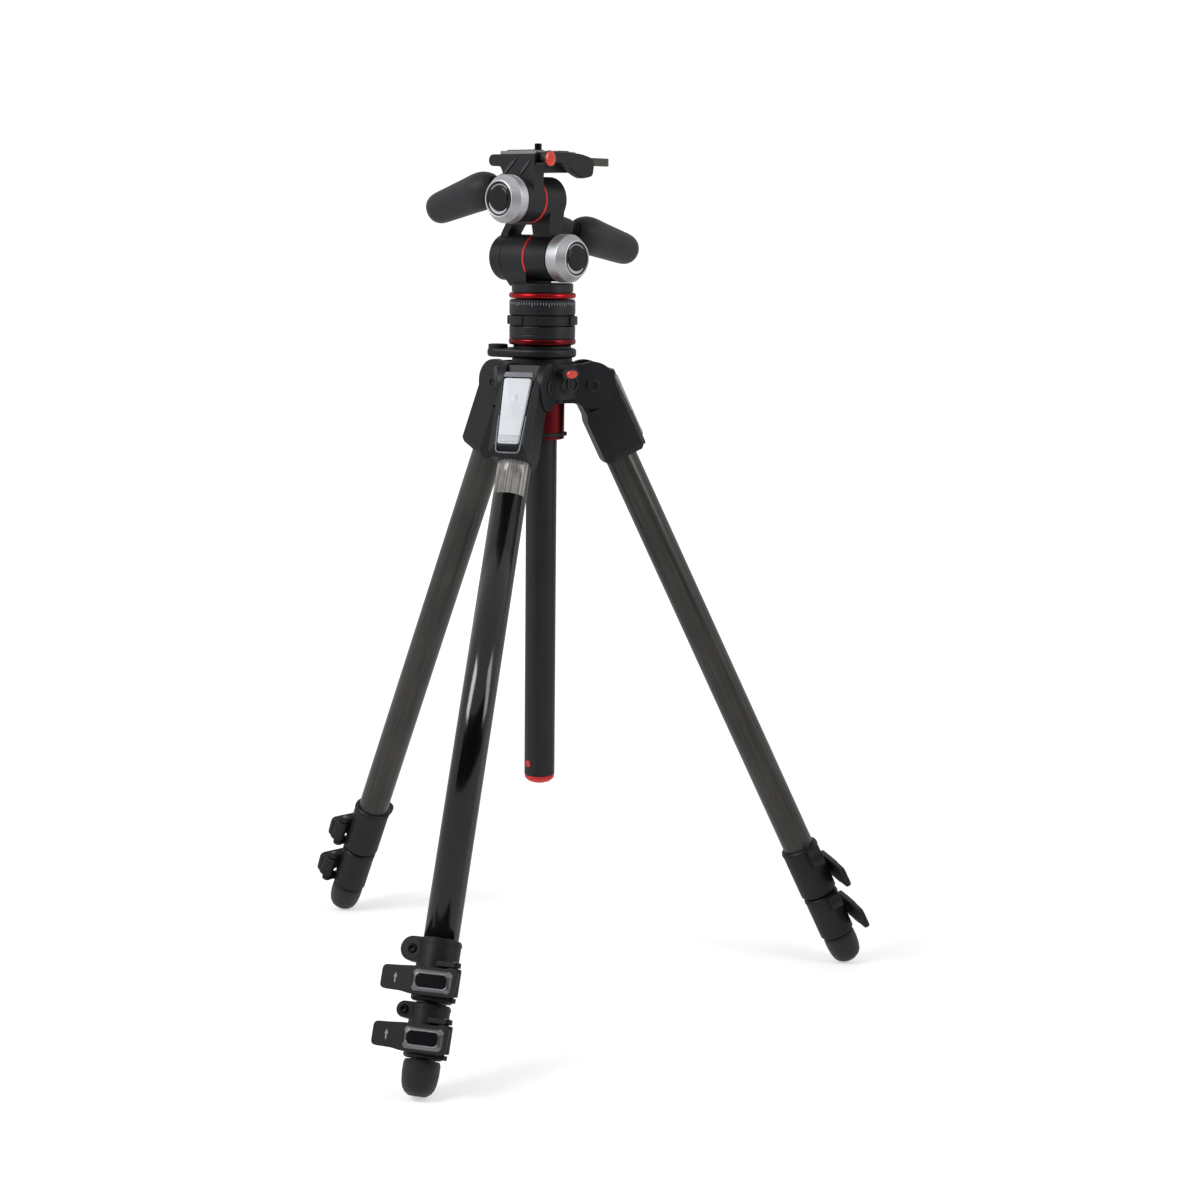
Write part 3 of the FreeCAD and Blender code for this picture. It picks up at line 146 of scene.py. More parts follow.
@dataclass(frozen=True)
class Finish:
    """One real surface: what it is made of and how it was made.

    Attributes:
        name: Material name.
        slot: Slot of the record that the finish belongs to; not used.
        base: Main colour, sRGB hex.
        second: Colour of the lighter or darker flecks, sRGB hex.
        pattern: How the marks run.
        size: Size of one mark, in millimetres.
        relief: Depth of the marks, in millimetres.
        rough: Lowest and highest roughness.
        metallic: 1 for bare metal.
        coat: Weight of a clear lacquer on top.
        specular: Specular level; a metal keeps the default.
        sheen: Weight of the soft bloom on rubber.
        cloud: Size of the slow colour variation, in millimetres.
    """

    name: str
    slot: str
    base: str
    second: str
    pattern: Pattern = Pattern.GRAIN
    size: float = 0.6
    relief: float = 0.02
    rough: tuple[float, float] = (0.4, 0.5)
    metallic: float = 0.0
    coat: float = 0.0
    specular: float = 0.5
    sheen: float = 0.0
    cloud: float = 30.0

    def marks(self, tree: bpy.types.NodeTree) -> bpy.types.NodeSocket:
        """Coordinates in which one unit is one mark of the pattern.

        Args:
            tree: The material's tree.

        Returns:
            A vector output.
        """
        place = add_node(tree, "TexCoord").outputs["Object"]
        fine = 1 / (self.size * MM)
        if self.pattern is Pattern.TURNED:
            split = add_node(tree, "SeparateXYZ", sockets={0: place})
            flat = add_node(tree, "CombineXYZ", sockets={0: split.outputs[0], 1: split.outputs[1]})
            radius = add_node(tree, "VectorMath", {"operation": "LENGTH"}, {0: flat.outputs[0]})
            place = add_node(
                tree, "CombineXYZ", sockets={0: radius.outputs["Value"], 2: split.outputs[2]}
            ).outputs[0]
        stretch = {
            Pattern.GRAIN: (1, 1, 1),
            Pattern.TURNED: (1, 1, 1),
            Pattern.FIBRE: (1, 1, 0.012),
            Pattern.BRUSHED: (1, 1, 0.03),
        }[self.pattern]
        scale = tuple(fine * s for s in stretch)
        return add_node(
            tree, "Mapping", {"vector_type": "POINT"}, {"Vector": place, "Scale": scale}
        ).outputs[0]

    def material(self) -> bpy.types.Material:
        """Build the material once and hand it out after that.

        Returns:
            The procedural material.
        """
        made = bpy.data.materials.get(self.name)
        if made:
            return made
        made = bpy.data.materials.new(self.name)
        made.use_nodes = True
        tree = made.node_tree
        tree.nodes.clear()
        fleck_low, fleck_high, fleck_share, mix_top = 0.35, 0.65, 0.6, 1.15
        bump_strength, coat_roughness = 0.5, 0.12
        marks = self.marks(tree)
        noise = add_node(
            tree, "TexNoise", sockets={"Vector": marks, "Scale": 1.0, "Detail": 3.0}
        ).outputs["Fac"]
        where = add_node(tree, "TexCoord").outputs["Object"]
        slow = add_node(
            tree,
            "TexNoise",
            sockets={"Vector": where, "Scale": 1 / (self.cloud * MM), "Detail": 2.0},
        ).outputs["Fac"]
        sharp = add_node(
            tree, "MapRange",
            sockets={"Value": noise, "From Min": fleck_low, "From Max": fleck_high}
        ).outputs[0]
        share = add_node(
            tree, "Math", {"operation": "MULTIPLY_ADD"}, {0: sharp, 1: fleck_share, 2: slow}
        ).outputs[0]
        share = add_node(
            tree, "MapRange",
            sockets={"Value": share, "From Min": fleck_low, "From Max": mix_top}
        ).outputs[0]
        colour = add_node(
            tree,
            "Mix",
            {"data_type": "RGBA"},
            {0: share, 6: linear(self.base), 7: linear(self.second)},
        ).outputs[2]
        rough = add_node(
            tree,
            "MapRange",
            sockets={"Value": noise, "To Min": self.rough[0], "To Max": self.rough[1]},
        ).outputs[0]
        bump = add_node(
            tree,
            "Bump",
            sockets={
                "Height": noise, "Strength": bump_strength, "Distance": self.relief * MM},
        ).outputs[0]
        sockets = {
            "Base Color": colour,
            "Roughness": rough,
            "Normal": bump,
            "Metallic": self.metallic,
            "Specular IOR Level": self.specular,
            "Coat Weight": self.coat,
            "Coat Roughness": coat_roughness,
            "Sheen Weight": self.sheen,
        }
        shader = add_node(tree, "BsdfPrincipled", sockets=sockets).outputs[0]
        add_node(tree, "OutputMaterial", sockets={0: shader})
        return made


# Die-cast aluminium alloy, powder coated satin black: an even, very dark grey with a fine
# orange-peel, and a soft broad highlight on every rounded edge.
CASTING = Finish(
    "powder_coated_die_cast_aluminium", "black_casting", "#17181b", "#202124",
    size=0.5, relief=0.03, rough=(0.36, 0.46), specular=0.45,
)
# Glass-filled nylon, moulded and lightly textured: a touch browner and duller than the castings.
NYLON = Finish(
    "moulded_glass_filled_nylon", "black_moulding", "#161617", "#212122",
    size=0.7, relief=0.04, rough=(0.36, 0.5), specular=0.4,
)
# The same nylon against a polished mould face: mirror-like insets in the levers.
POLISHED_NYLON = Finish(
    "polished_moulded_nylon", "black_moulding", "#0d0d0f", "#15161a",
    size=1.5, relief=0.005, rough=(0.16, 0.22), specular=0.5,
)
# Thermoplastic elastomer moulded over the handle: soft charcoal, no sharp reflections.
SOFT_GRIP = Finish(
    "moulded_soft_elastomer", "grip_plastic", "#1b1c1f", "#27282b",
    size=0.8, relief=0.06, rough=(0.5, 0.62), specular=0.35, sheen=0.15,
)
# Pultruded carbon fibre under a clear lacquer: warm dark grey with long strands. A strand is
# about 0.01 mm, too fine to show, so bundles 0.9 mm wide are drawn instead.
CARBON = Finish(
    "lacquered_carbon_fibre", "carbon_tube", "#171614", "#3a3732",
    pattern=Pattern.FIBRE, size=0.9, relief=0.01, rough=(0.26, 0.42), coat=0.5, specular=0.5,
    cloud=60.0,
)
# Painted reflection: the same carbon with its long strands drawn pale grey, standing in for the
# glare of light on the upper tube's front; the strand pattern is real, the pale colour is painted
# glare.
GLARE_STREAK_CARBON = Finish(
    "carbon_fibre_painted_glare_streaks", "carbon_tube", "#3c3a37", "#b3b0aa",
    pattern=Pattern.FIBRE, size=1.6, relief=0.01, rough=(0.24, 0.36), coat=0.6, specular=0.6,
    cloud=16.0,
)
# Black film under the same lacquer, wrapped on one tube: deeper and glossier than the fibre.
FILM = Finish(
    "gloss_black_film", "carbon_tube", "#08080a", "#101013",
    pattern=Pattern.FIBRE, size=1.2, relief=0.003, rough=(0.12, 0.2), coat=0.6,
)
# Drawn aluminium tube, anodised black: charcoal with a soft lengthwise drawing mark.
BLACK_ANODISED = Finish(
    "black_anodised_drawn_aluminium", "black_casting", "#1a1a1b", "#242322",
    pattern=Pattern.FIBRE, size=0.6, relief=0.008, rough=(0.3, 0.4), specular=0.5,
)
# Turned aluminium, clear anodised: fine rings from the lathe, drawn 0.5 mm apart because the
# real ones are too fine to show.
TURNED_ALUMINIUM = Finish(
    "turned_clear_anodised_aluminium", "silver_metal", "#d9dbdf", "#eeeff1",
    pattern=Pattern.TURNED, size=0.5, relief=0.015, rough=(0.42, 0.54), metallic=1.0,
)
# Die-cast tab, bead blasted and clear anodised: nearly white satin that holds no clear image.
BLASTED_ALUMINIUM = Finish(
    "bead_blasted_aluminium", "silver_metal", "#b2b5ba", "#c3c6ca",
    size=0.4, relief=0.02, rough=(0.46, 0.58), metallic=1.0,
)
# Machined plate, anodised grey, with straight mill marks.
PLATE = Finish(
    "milled_grey_anodised_aluminium", "plate_aluminium", "#9a9c9f", "#b4b6b9",
    pattern=Pattern.BRUSHED, size=0.5, relief=0.01, rough=(0.3, 0.42), metallic=1.0,
)
# Turned aluminium, anodised deep red: dark in the body of the colour, pink where light catches.
RED_ANODISED = Finish(
    "red_anodised_turned_aluminium", "red_anodised", "#6f1a1f", "#8a2a30",
    pattern=Pattern.TURNED, size=0.6, relief=0.01, rough=(0.26, 0.36), metallic=1.0,
)
# The same alloy anodised for a shorter time: a clearer, brighter red for the pan ring.
BRIGHT_RED_ANODISED = Finish(
    "bright_red_anodised_aluminium", "red_anodised", "#b81b22", "#cf3037",
    pattern=Pattern.TURNED, size=0.6, relief=0.01, rough=(0.28, 0.38), metallic=1.0,
)
# Painted highlight: the lever's black moulded frame drawn as grey satin metal, so its bevelled
# facets stand in for the bright reflections they catch.
FRAME_HIGHLIGHT_GREY = Finish(
    "grey_metal_painted_frame_highlight", "black_moulding", "#8b8c8f", "#a6a7aa",
    size=1.0, relief=0.004, rough=(0.26, 0.36), metallic=1.0,
)
# Painted highlight: grey strips laid along the cast edges and ribs of the black powder coat,
# standing in for the shine of light along them.
EDGE_HIGHLIGHT_GREY = Finish(
    "grey_painted_edge_highlight", "black_casting", "#4b4c50", "#66686c",
    size=0.8, relief=0.01, rough=(0.28, 0.38), metallic=0.6,
)
# Acetal ring moulded in red: brighter than the anodised parts and without a metal's mirror.
RED_ACETAL = Finish(
    "moulded_red_acetal", "red_plastic", "#c01a1e", "#d92a2b",
    size=1.0, relief=0.01, rough=(0.3, 0.4), specular=0.5,
)
# Doming resin over orange-red print: a wet-looking lens.
DOMED_RESIN = Finish(
    "orange_red_doming_resin", "red_plastic", "#d42f1b", "#de3a25",
    size=6.0, relief=0.002, rough=(0.1, 0.16), coat=1.0,
)
# Nylon in olive grey for the small safety tongue.
GREY_NYLON = Finish(
    "moulded_olive_grey_nylon", "grey_plastic", "#3a3832", "#4a473f",
    size=0.7, relief=0.03, rough=(0.4, 0.5),
)
# Vulcanised rubber: dull dark grey with a chalky bloom.
RUBBER = Finish(
    "vulcanised_rubber", "foot_rubber", "#1d1e20", "#292a2d",
    size=0.9, relief=0.08, rough=(0.6, 0.75), specular=0.3, sheen=0.2,
)
# Zinc-plated steel screws and pins: cool grey, mildly scuffed.
STEEL = Finish(
    "zinc_plated_steel", "steel", "#6f7276", "#94979b",
    pattern=Pattern.TURNED, size=0.4, relief=0.01, rough=(0.28, 0.42), metallic=1.0,
)
# Black-oxide steel, for screws that should not shine.
BLACK_STEEL = Finish(
    "black_oxide_steel", "steel", "#1b1c1e", "#2b2c2f",
    pattern=Pattern.TURNED, size=0.4, relief=0.01, rough=(0.3, 0.42), metallic=1.0,
)
# Spirit in a clear acrylic vial: yellow-green and bright.
VIAL_SPIRIT = Finish(
    "acrylic_spirit_vial", "grey_plastic", "#b9c93a", "#d3df62",
    size=3.0, relief=0.001, rough=(0.05, 0.1), coat=1.0,
)
# Cork-filled rubber pads that keep a camera from turning on its plate.
PAD_RUBBER = Finish(
    "cork_filled_rubber", "foot_rubber", "#202021", "#3a3632",
    size=0.8, relief=0.1, rough=(0.7, 0.85), specular=0.3,
)
# Pale print of the degree scale: matt light grey ink.
SCALE_INK = Finish(
    "pale_screen_print_ink", "grey_plastic", "#8a8c90", "#a2a4a8",
    size=0.4, relief=0.004, rough=(0.5, 0.6),
)


# ------------------------------------------------------------------ frames and meshes


def aim(frame: Matrix, spot: Point, toward: Point, up: Point = UP) -> Matrix:
    """A frame at a spot of another frame, with Z toward one side and Y nearest to up.

    Args:
        frame: Frame that spot, toward and up are given in.
        spot: Origin in millimetres.
        toward: Direction of the new Z axis.
        up: Direction that the new Y axis comes nearest to.

    Returns:
        The new frame, in metres in the row frame.
    """
    z_axis = Vector(toward).normalized()
    x_axis = Vector(up).cross(z_axis).normalized()
    y_axis = z_axis.cross(x_axis)
    turned = Matrix((x_axis, y_axis, z_axis)).transposed().to_4x4()
    return frame @ Matrix.Translation(Vector(spot) * MM) @ turned


def softened(points: Sequence[Point], radius: float, closed: bool, steps: int = 4) -> list[Vector]:
    """Round the corners of an outline.

    Args:
        points: Corners, in millimetres.
        radius: How far from a corner its round begins.
        closed: Whether the last corner joins the first.
        steps: Segments in each round.

    Returns:
        The points of the rounded outline.
    """
    corners = [Vector(p[:2]) for p in points]
    count = len(corners)
    line: list[Vector] = []
    for i, corner in enumerate(corners):
        if not closed and i in (0, count - 1):
            line.append(corner)
            continue
        before, after = corners[i - 1] - corner, corners[(i + 1) % count] - corner
        reach = min(radius, before.length * MOST_REACH, after.length * MOST_REACH)
        if reach < NO_REACH:
            line.append(corner)
            continue
        start = corner + before.normalized() * reach
        end = corner + after.normalized() * reach
        for step in range(steps + 1):
            t = step / steps
            line.append(start * (1 - t) ** 2 + corner * 2 * t * (1 - t) + end * t * t)
    return line


def arc(radius: float, start: float, stop: float, steps: int = 24) -> list[Vector]:
    """Points along an arc about the origin.

    Args:
        radius: Radius in millimetres.
        start: First angle, degrees from +X towards +Y.
        stop: Last angle.
        steps: Number of segments.

    Returns:
        The points.
    """
    angles = [math.radians(start + (stop - start) * i / steps) for i in range(steps + 1)]
    return [Vector((radius * math.cos(a), radius * math.sin(a))) for a in angles]


def rectangle(width: float, height: float, cut: float = 0.0) -> list[Point]:
    """A rectangle about the origin, with its corners cut off if cut is above zero.

    Args:
        width: Size along X, millimetres.
        height: Size along Y.
        cut: Length taken from each side at a corner.

    Returns:
        The corners, anticlockwise.
    """
    w, h = width / 2, height / 2
    if not cut:
        return [(-w, -h), (w, -h), (w, h), (-w, h)]
    return [
        (-w + cut, -h), (w - cut, -h), (w, -h + cut), (w, h - cut),
        (w - cut, h), (-w + cut, h), (-w, h - cut), (-w, -h + cut),
    ]


@dataclass
class Maker:
    """Makes pieces for one body and keeps count of them.

    Attributes:
        body: Body of the frame that the pieces ride on.
        frame: Frame that the pieces' millimetres are measured in.
    """

    body: str
    frame: Matrix

    def at(self, spot: Point, toward: Point, up: Point = UP) -> "Maker":
        """The same body, with a frame of its own."""
        return Maker(self.body, aim(self.frame, spot, toward, up))

    def piece(
        self, name: str, mesh: bmesh.types.BMesh, finish: Finish, bevel: float = 0.0,
        replaces: Iterable[str] = (),
    ) -> bpy.types.Object:
        """Turn a mesh in millimetres into a finished piece that rides on the body.

        Args:
            name: Name of the piece.
            mesh: Its mesh, used up by the call.
            finish: Its surface.
            bevel: Width of the rounded edges, millimetres.
            replaces: CAD nodes that the piece stands for.

        Returns:
            The object.
        """
        bmesh.ops.scale(mesh, vec=(MM, MM, MM), verts=mesh.verts)
        bmesh.ops.recalc_face_normals(mesh, faces=mesh.faces)
        for face in mesh.faces:
            face.smooth = True
        data = bpy.data.meshes.new(name)
        mesh.to_mesh(data)
        mesh.free()
        data.materials.append(finish.material())
        item = bpy.data.objects.new(name, data)
        bpy.context.scene.collection.objects.link(item)
        item.matrix_world = self.frame
        round_edges(item, bevel)
        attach(item, self.body)
        for node in replaces:
            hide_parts(node)
        LOG.info("%s on %s, %d faces, %s", name, self.body, len(data.polygons), finish.name)
        return item

    def lathe(
        self, name: str, profile: Sequence[Point], finish: Finish, soft: float = 0.4,
        sides: int = 96, replaces: Iterable[str] = (), closed: bool = False,
    ) -> bpy.types.Object:
        """A turned piece about the frame's Z axis.

        Args:
            name: Name of the piece.
            profile: Corners as (radius, height).
            finish: Its surface.
            soft: Reach of the corner rounds.
            sides: Segments round the axis.
            replaces: CAD nodes that the piece stands for.
            closed: Whether the profile closes on itself, as a ring's does.

        Returns:
            The object.
        """
        line = softened(profile, soft, closed)
        mesh = bmesh.new()
        rings = []
        for radius, height in line:
            if radius < ON_AXIS:
                rings.append([mesh.verts.new((0, 0, height))] * sides)
                continue
            turn = (2 * math.pi * k / sides for k in range(sides))
            rings.append(
                [mesh.verts.new((radius * math.cos(a), radius * math.sin(a), height)) for a in turn]
            )
        pairs = list(zip(rings, rings[1:]))
        if closed:
            pairs.append((rings[-1], rings[0]))
        for low, high in pairs:
            for k in range(sides):
                m = (k + 1) % sides
                corners = dict.fromkeys((low[k], low[m], high[m], high[k]))
                if len(corners) > 2:
                    mesh.faces.new(list(corners))
        if not closed:
            for ring in (rings[0], rings[-1]):
                if ring[0] is not ring[1]:
                    mesh.faces.new(ring)
        return self.piece(name, mesh, finish, replaces=replaces)

    def slab(
        self, name: str, outline: Sequence[Point], low: float, high: float, finish: Finish,
        soft: float = 0.0, bevel: float = 0.3, hole: Sequence[Point] | None = None,
        replaces: Iterable[str] = (),
    ) -> bpy.types.Object:
        """An outline drawn up along the frame's Z axis.

        Args:
            name: Name of the piece.
            outline: Corners as (x, y).
            low: Start along Z.
            high: End along Z.
            finish: Its surface.
            soft: Reach of the corner rounds in the outline.
            bevel: Width of the rounded edges.
            hole: Outline of a hole right through, with as many points as the outline.
            replaces: CAD nodes that the piece stands for.

        Returns:
            The object.
        """
        outer = softened(outline, soft, True) if soft else [Vector(p[:2]) for p in outline]
        mesh = bmesh.new()
        walls = [outer]
        if hole:
            walls.append(softened(hole, soft, True) if soft else [Vector(p[:2]) for p in hole])
        made = [
            [[mesh.verts.new((x, y, z)) for x, y in wall] for z in (low, high)] for wall in walls]
        for bottom, top in made:
            for k in range(len(bottom)):
                m = (k + 1) % len(bottom)
                mesh.faces.new((bottom[k], bottom[m], top[m], top[k]))
        for level in (0, 1):
            if not hole:
                mesh.faces.new(made[0][level])
                continue
            outside, inside = made[0][level], made[1][level]
            for k in range(len(outside)):
                m = (k + 1) % len(outside)
                mesh.faces.new((outside[k], outside[m], inside[m], inside[k]))
        return self.piece(name, mesh, finish, bevel, replaces)

    def loft(
        self, name: str, sections: Sequence[tuple[Sequence[Point], float]], finish: Finish,
        soft: float = 0.0, bevel: float = 0.3, replaces: Iterable[str] = (),
    ) -> bpy.types.Object:
        """A solid through outlines at several heights of the frame's Z axis.

        Args:
            name: Name of the piece.
            sections: Outlines as (x, y) corners with their heights, all with as many corners.
            finish: Its surface.
            soft: Reach of the corner rounds in each outline.
            bevel: Width of the rounded edges.
            replaces: CAD nodes that the piece stands for.

        Returns:
            The object.
        """
        mesh = bmesh.new()
        rings = []
        for outline, height in sections:
            line = softened(outline, soft, True) if soft else [Vector(p[:2]) for p in outline]
            rings.append([mesh.verts.new((x, y, height)) for x, y in line])
        for below, above in zip(rings, rings[1:]):
            for k in range(len(below)):
                m = (k + 1) % len(below)
                mesh.faces.new((below[k], below[m], above[m], above[k]))
        for ring in (rings[0], rings[-1]):
            mesh.faces.new(ring)
        return self.piece(name, mesh, finish, bevel, replaces)

    def strip(
        self, name: str, path: Sequence[Point], widths: Sequence[float], low: float, high: float,
        finish: Finish, bevel: float = 0.2,
    ) -> bpy.types.Object:
        """A narrow raised band that follows a path in the frame's XY plane.

        Args:
            name: Name of the piece.
            path: Points of its middle line.
            widths: Its width at each point, or a single width.
            low: Underside.
            high: Top.
            finish: Its surface.
            bevel: Width of the rounded edges.

        Returns:
            The object.
        """
        line = [Vector(p[:2]) for p in path]
        wide = list(widths) if len(widths) > 1 else list(widths) * len(line)
        left, right = [], []
        for k, spot in enumerate(line):
            along = (line[min(k + 1, len(line) - 1)] - line[max(k - 1, 0)]).normalized()
            across = Vector((-along.y, along.x)) * (wide[k] / 2)
            left.append(spot + across)
            right.append(spot - across)
        return self.slab(name, right + left[::-1], low, high, finish, bevel=bevel)

    def dome(
        self, name: str, width: float, height: float, low: float, rise: float, finish: Finish,
    ) -> bpy.types.Object:
        """An oval lens: a short wall and a rounded face.

        Args:
            name: Name of the piece.
            width: Size along X.
            height: Size along Y.
            low: Underside along Z.
            rise: Height of the face's middle above the underside.
            finish: Its surface.

        Returns:
            The object.
        """
        mesh = bmesh.new()
        sides, levels = 64, 10
        rings = []
        for step in range(levels + 1):
            slope = math.pi / 2 * step / levels
            share, up = math.cos(slope), math.sin(slope)
            if step == levels:
                rings.append([mesh.verts.new((0, 0, low + rise))] * sides)
                break
            rings.append([
                mesh.verts.new((
                    width / 2 * share ** 0.7 * math.cos(2 * math.pi * k / sides),
                    height / 2 * share ** 0.7 * math.sin(2 * math.pi * k / sides),
                    low + rise * (0.45 + 0.55 * up) if step else low,
                )) for k in range(sides)
            ])
        for below, above in zip(rings, rings[1:]):
            for k in range(sides):
                m = (k + 1) % sides
                mesh.faces.new(list(dict.fromkeys((below[k], below[m], above[m], above[k]))))
        mesh.faces.new(rings[0])
        return self.piece(name, mesh, finish)

    def screw(self, name: str, radius: float, rise: float, finish: Finish = BLACK_STEEL) -> None:
        """A cap screw's head with a rounded rim and a six-sided socket.

        Args:
            name: Name of the piece.
            radius: Radius of the head.
            rise: Height of the head above the frame's origin.
            finish: Its surface.
        """
        socket = radius * 0.52
        self.lathe(
            name,
            [(0, -0.4), (radius, -0.4), (radius, rise * 0.65), (radius * 0.86, rise),
             (socket, rise), (socket * 0.96, rise * 0.35), (0, rise * 0.3)],
            finish, soft=0.25, sides=48,
        )


def round_edges(item: bpy.types.Object, width: float) -> None:
    """Give a piece rounded edges and even shading.

    Args:
        item: The piece.
        width: Width of the rounds in millimetres; 0 leaves the edges.
    """
    if width:
        bevel = item.modifiers.new("rounds", "BEVEL")
        bevel.width = width * MM
        bevel.segments = 3
        bevel.limit_method = "ANGLE"
        bevel.angle_limit = math.radians(SHARP_ANGLE)
        bevel.use_clamp_overlap = True
        bevel.harden_normals = False
    even = item.modifiers.new("even_shading", "WEIGHTED_NORMAL")
    even.mode = "FACE_AREA_WITH_ANGLE"
    even.weight = 60
    even.keep_sharp = False


def dress(
    nodes: dict[str, bpy.types.Object], name: str, finish: Finish, bevel: float = 0.5,
) -> None:
    """Finish a CAD node that keeps its own shape.

    Args:
        nodes: The frame's nodes.
        name: The node.
        finish: Its surface.
        bevel: Width of its rounded edges, in millimetres.
    """
    item = nodes[name]
    data = item.data
    data.materials.clear()
    data.materials.append(finish.material())
    for layer_name in ("custom_normal", "sharp_edge", "sharp_face"):
        layer = data.attributes.get(layer_name)
        if layer:
            data.attributes.remove(layer)
    for face in data.polygons:
        face.use_smooth = True
    weld = item.modifiers.new("weld", "WELD")
    weld.merge_threshold = WELD_GAP * MM
    flat = item.modifiers.new("flat_faces", "DECIMATE")
    flat.decimate_type = "DISSOLVE"
    flat.angle_limit = math.radians(FLAT_ANGLE)
    round_edges(item, bevel)
    LOG.info("%s keeps its shape, %s", name, finish.name)


# ------------------------------------------------------------------ where things are


@dataclass(frozen=True)
class Layout:
    """Frames of the sub-assemblies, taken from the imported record.

    Attributes:
        column: Origin on the floor under the column, Z up.
        head: The head's frame, X along the roll axis and Y along the tilt axis.
        legs: One frame for each leg, by letter.
    """

    column: Matrix
    head: Matrix
    legs: dict[str, Matrix]

    @staticmethod
    def read(frame: dict[str, Any]) -> "Layout":
        """Work the frames out from the nodes and joints.


        Returns:
            The layout.
        """
        joints = {j["name"]: j for j in frame["joints"]}
        low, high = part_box("column_sleeve")
        centre = (low + high) / 2
        column = Matrix.Translation((centre.x, centre.y, 0))
        along_roll = Vector(joints["roll"]["axis"]).normalized()
        along_tilt = Vector(joints["tilt"]["axis"]).normalized()
        axes = Matrix((along_roll, along_tilt, along_roll.cross(along_tilt))).transposed()
        head = column @ axes.to_4x4()
        hinge_up_leg = 620.4 * MM
        legs = {}
        for letter in LETTERS:
            hinge = Vector(joints[f"leg_{letter}_spread"]["pos_m"])
            up_tube = -Vector(joints[f"middle_{letter}_extend"]["axis"]).normalized()
            radial = Vector((hinge.x - centre.x, hinge.y - centre.y, 0)).normalized()
            across = Vector((0, 0, 1)).cross(radial).normalized()
            outward = up_tube.cross(across).normalized() * -1
            if outward.dot(radial) < 0:
                across, outward = -across, -outward
            spin = Matrix((across, -outward, up_tube)).transposed().to_4x4()
            legs[letter] = Matrix.Translation(hinge - up_tube * hinge_up_leg) @ spin
        return Layout(column, head, legs)


# ------------------------------------------------------------------ legs


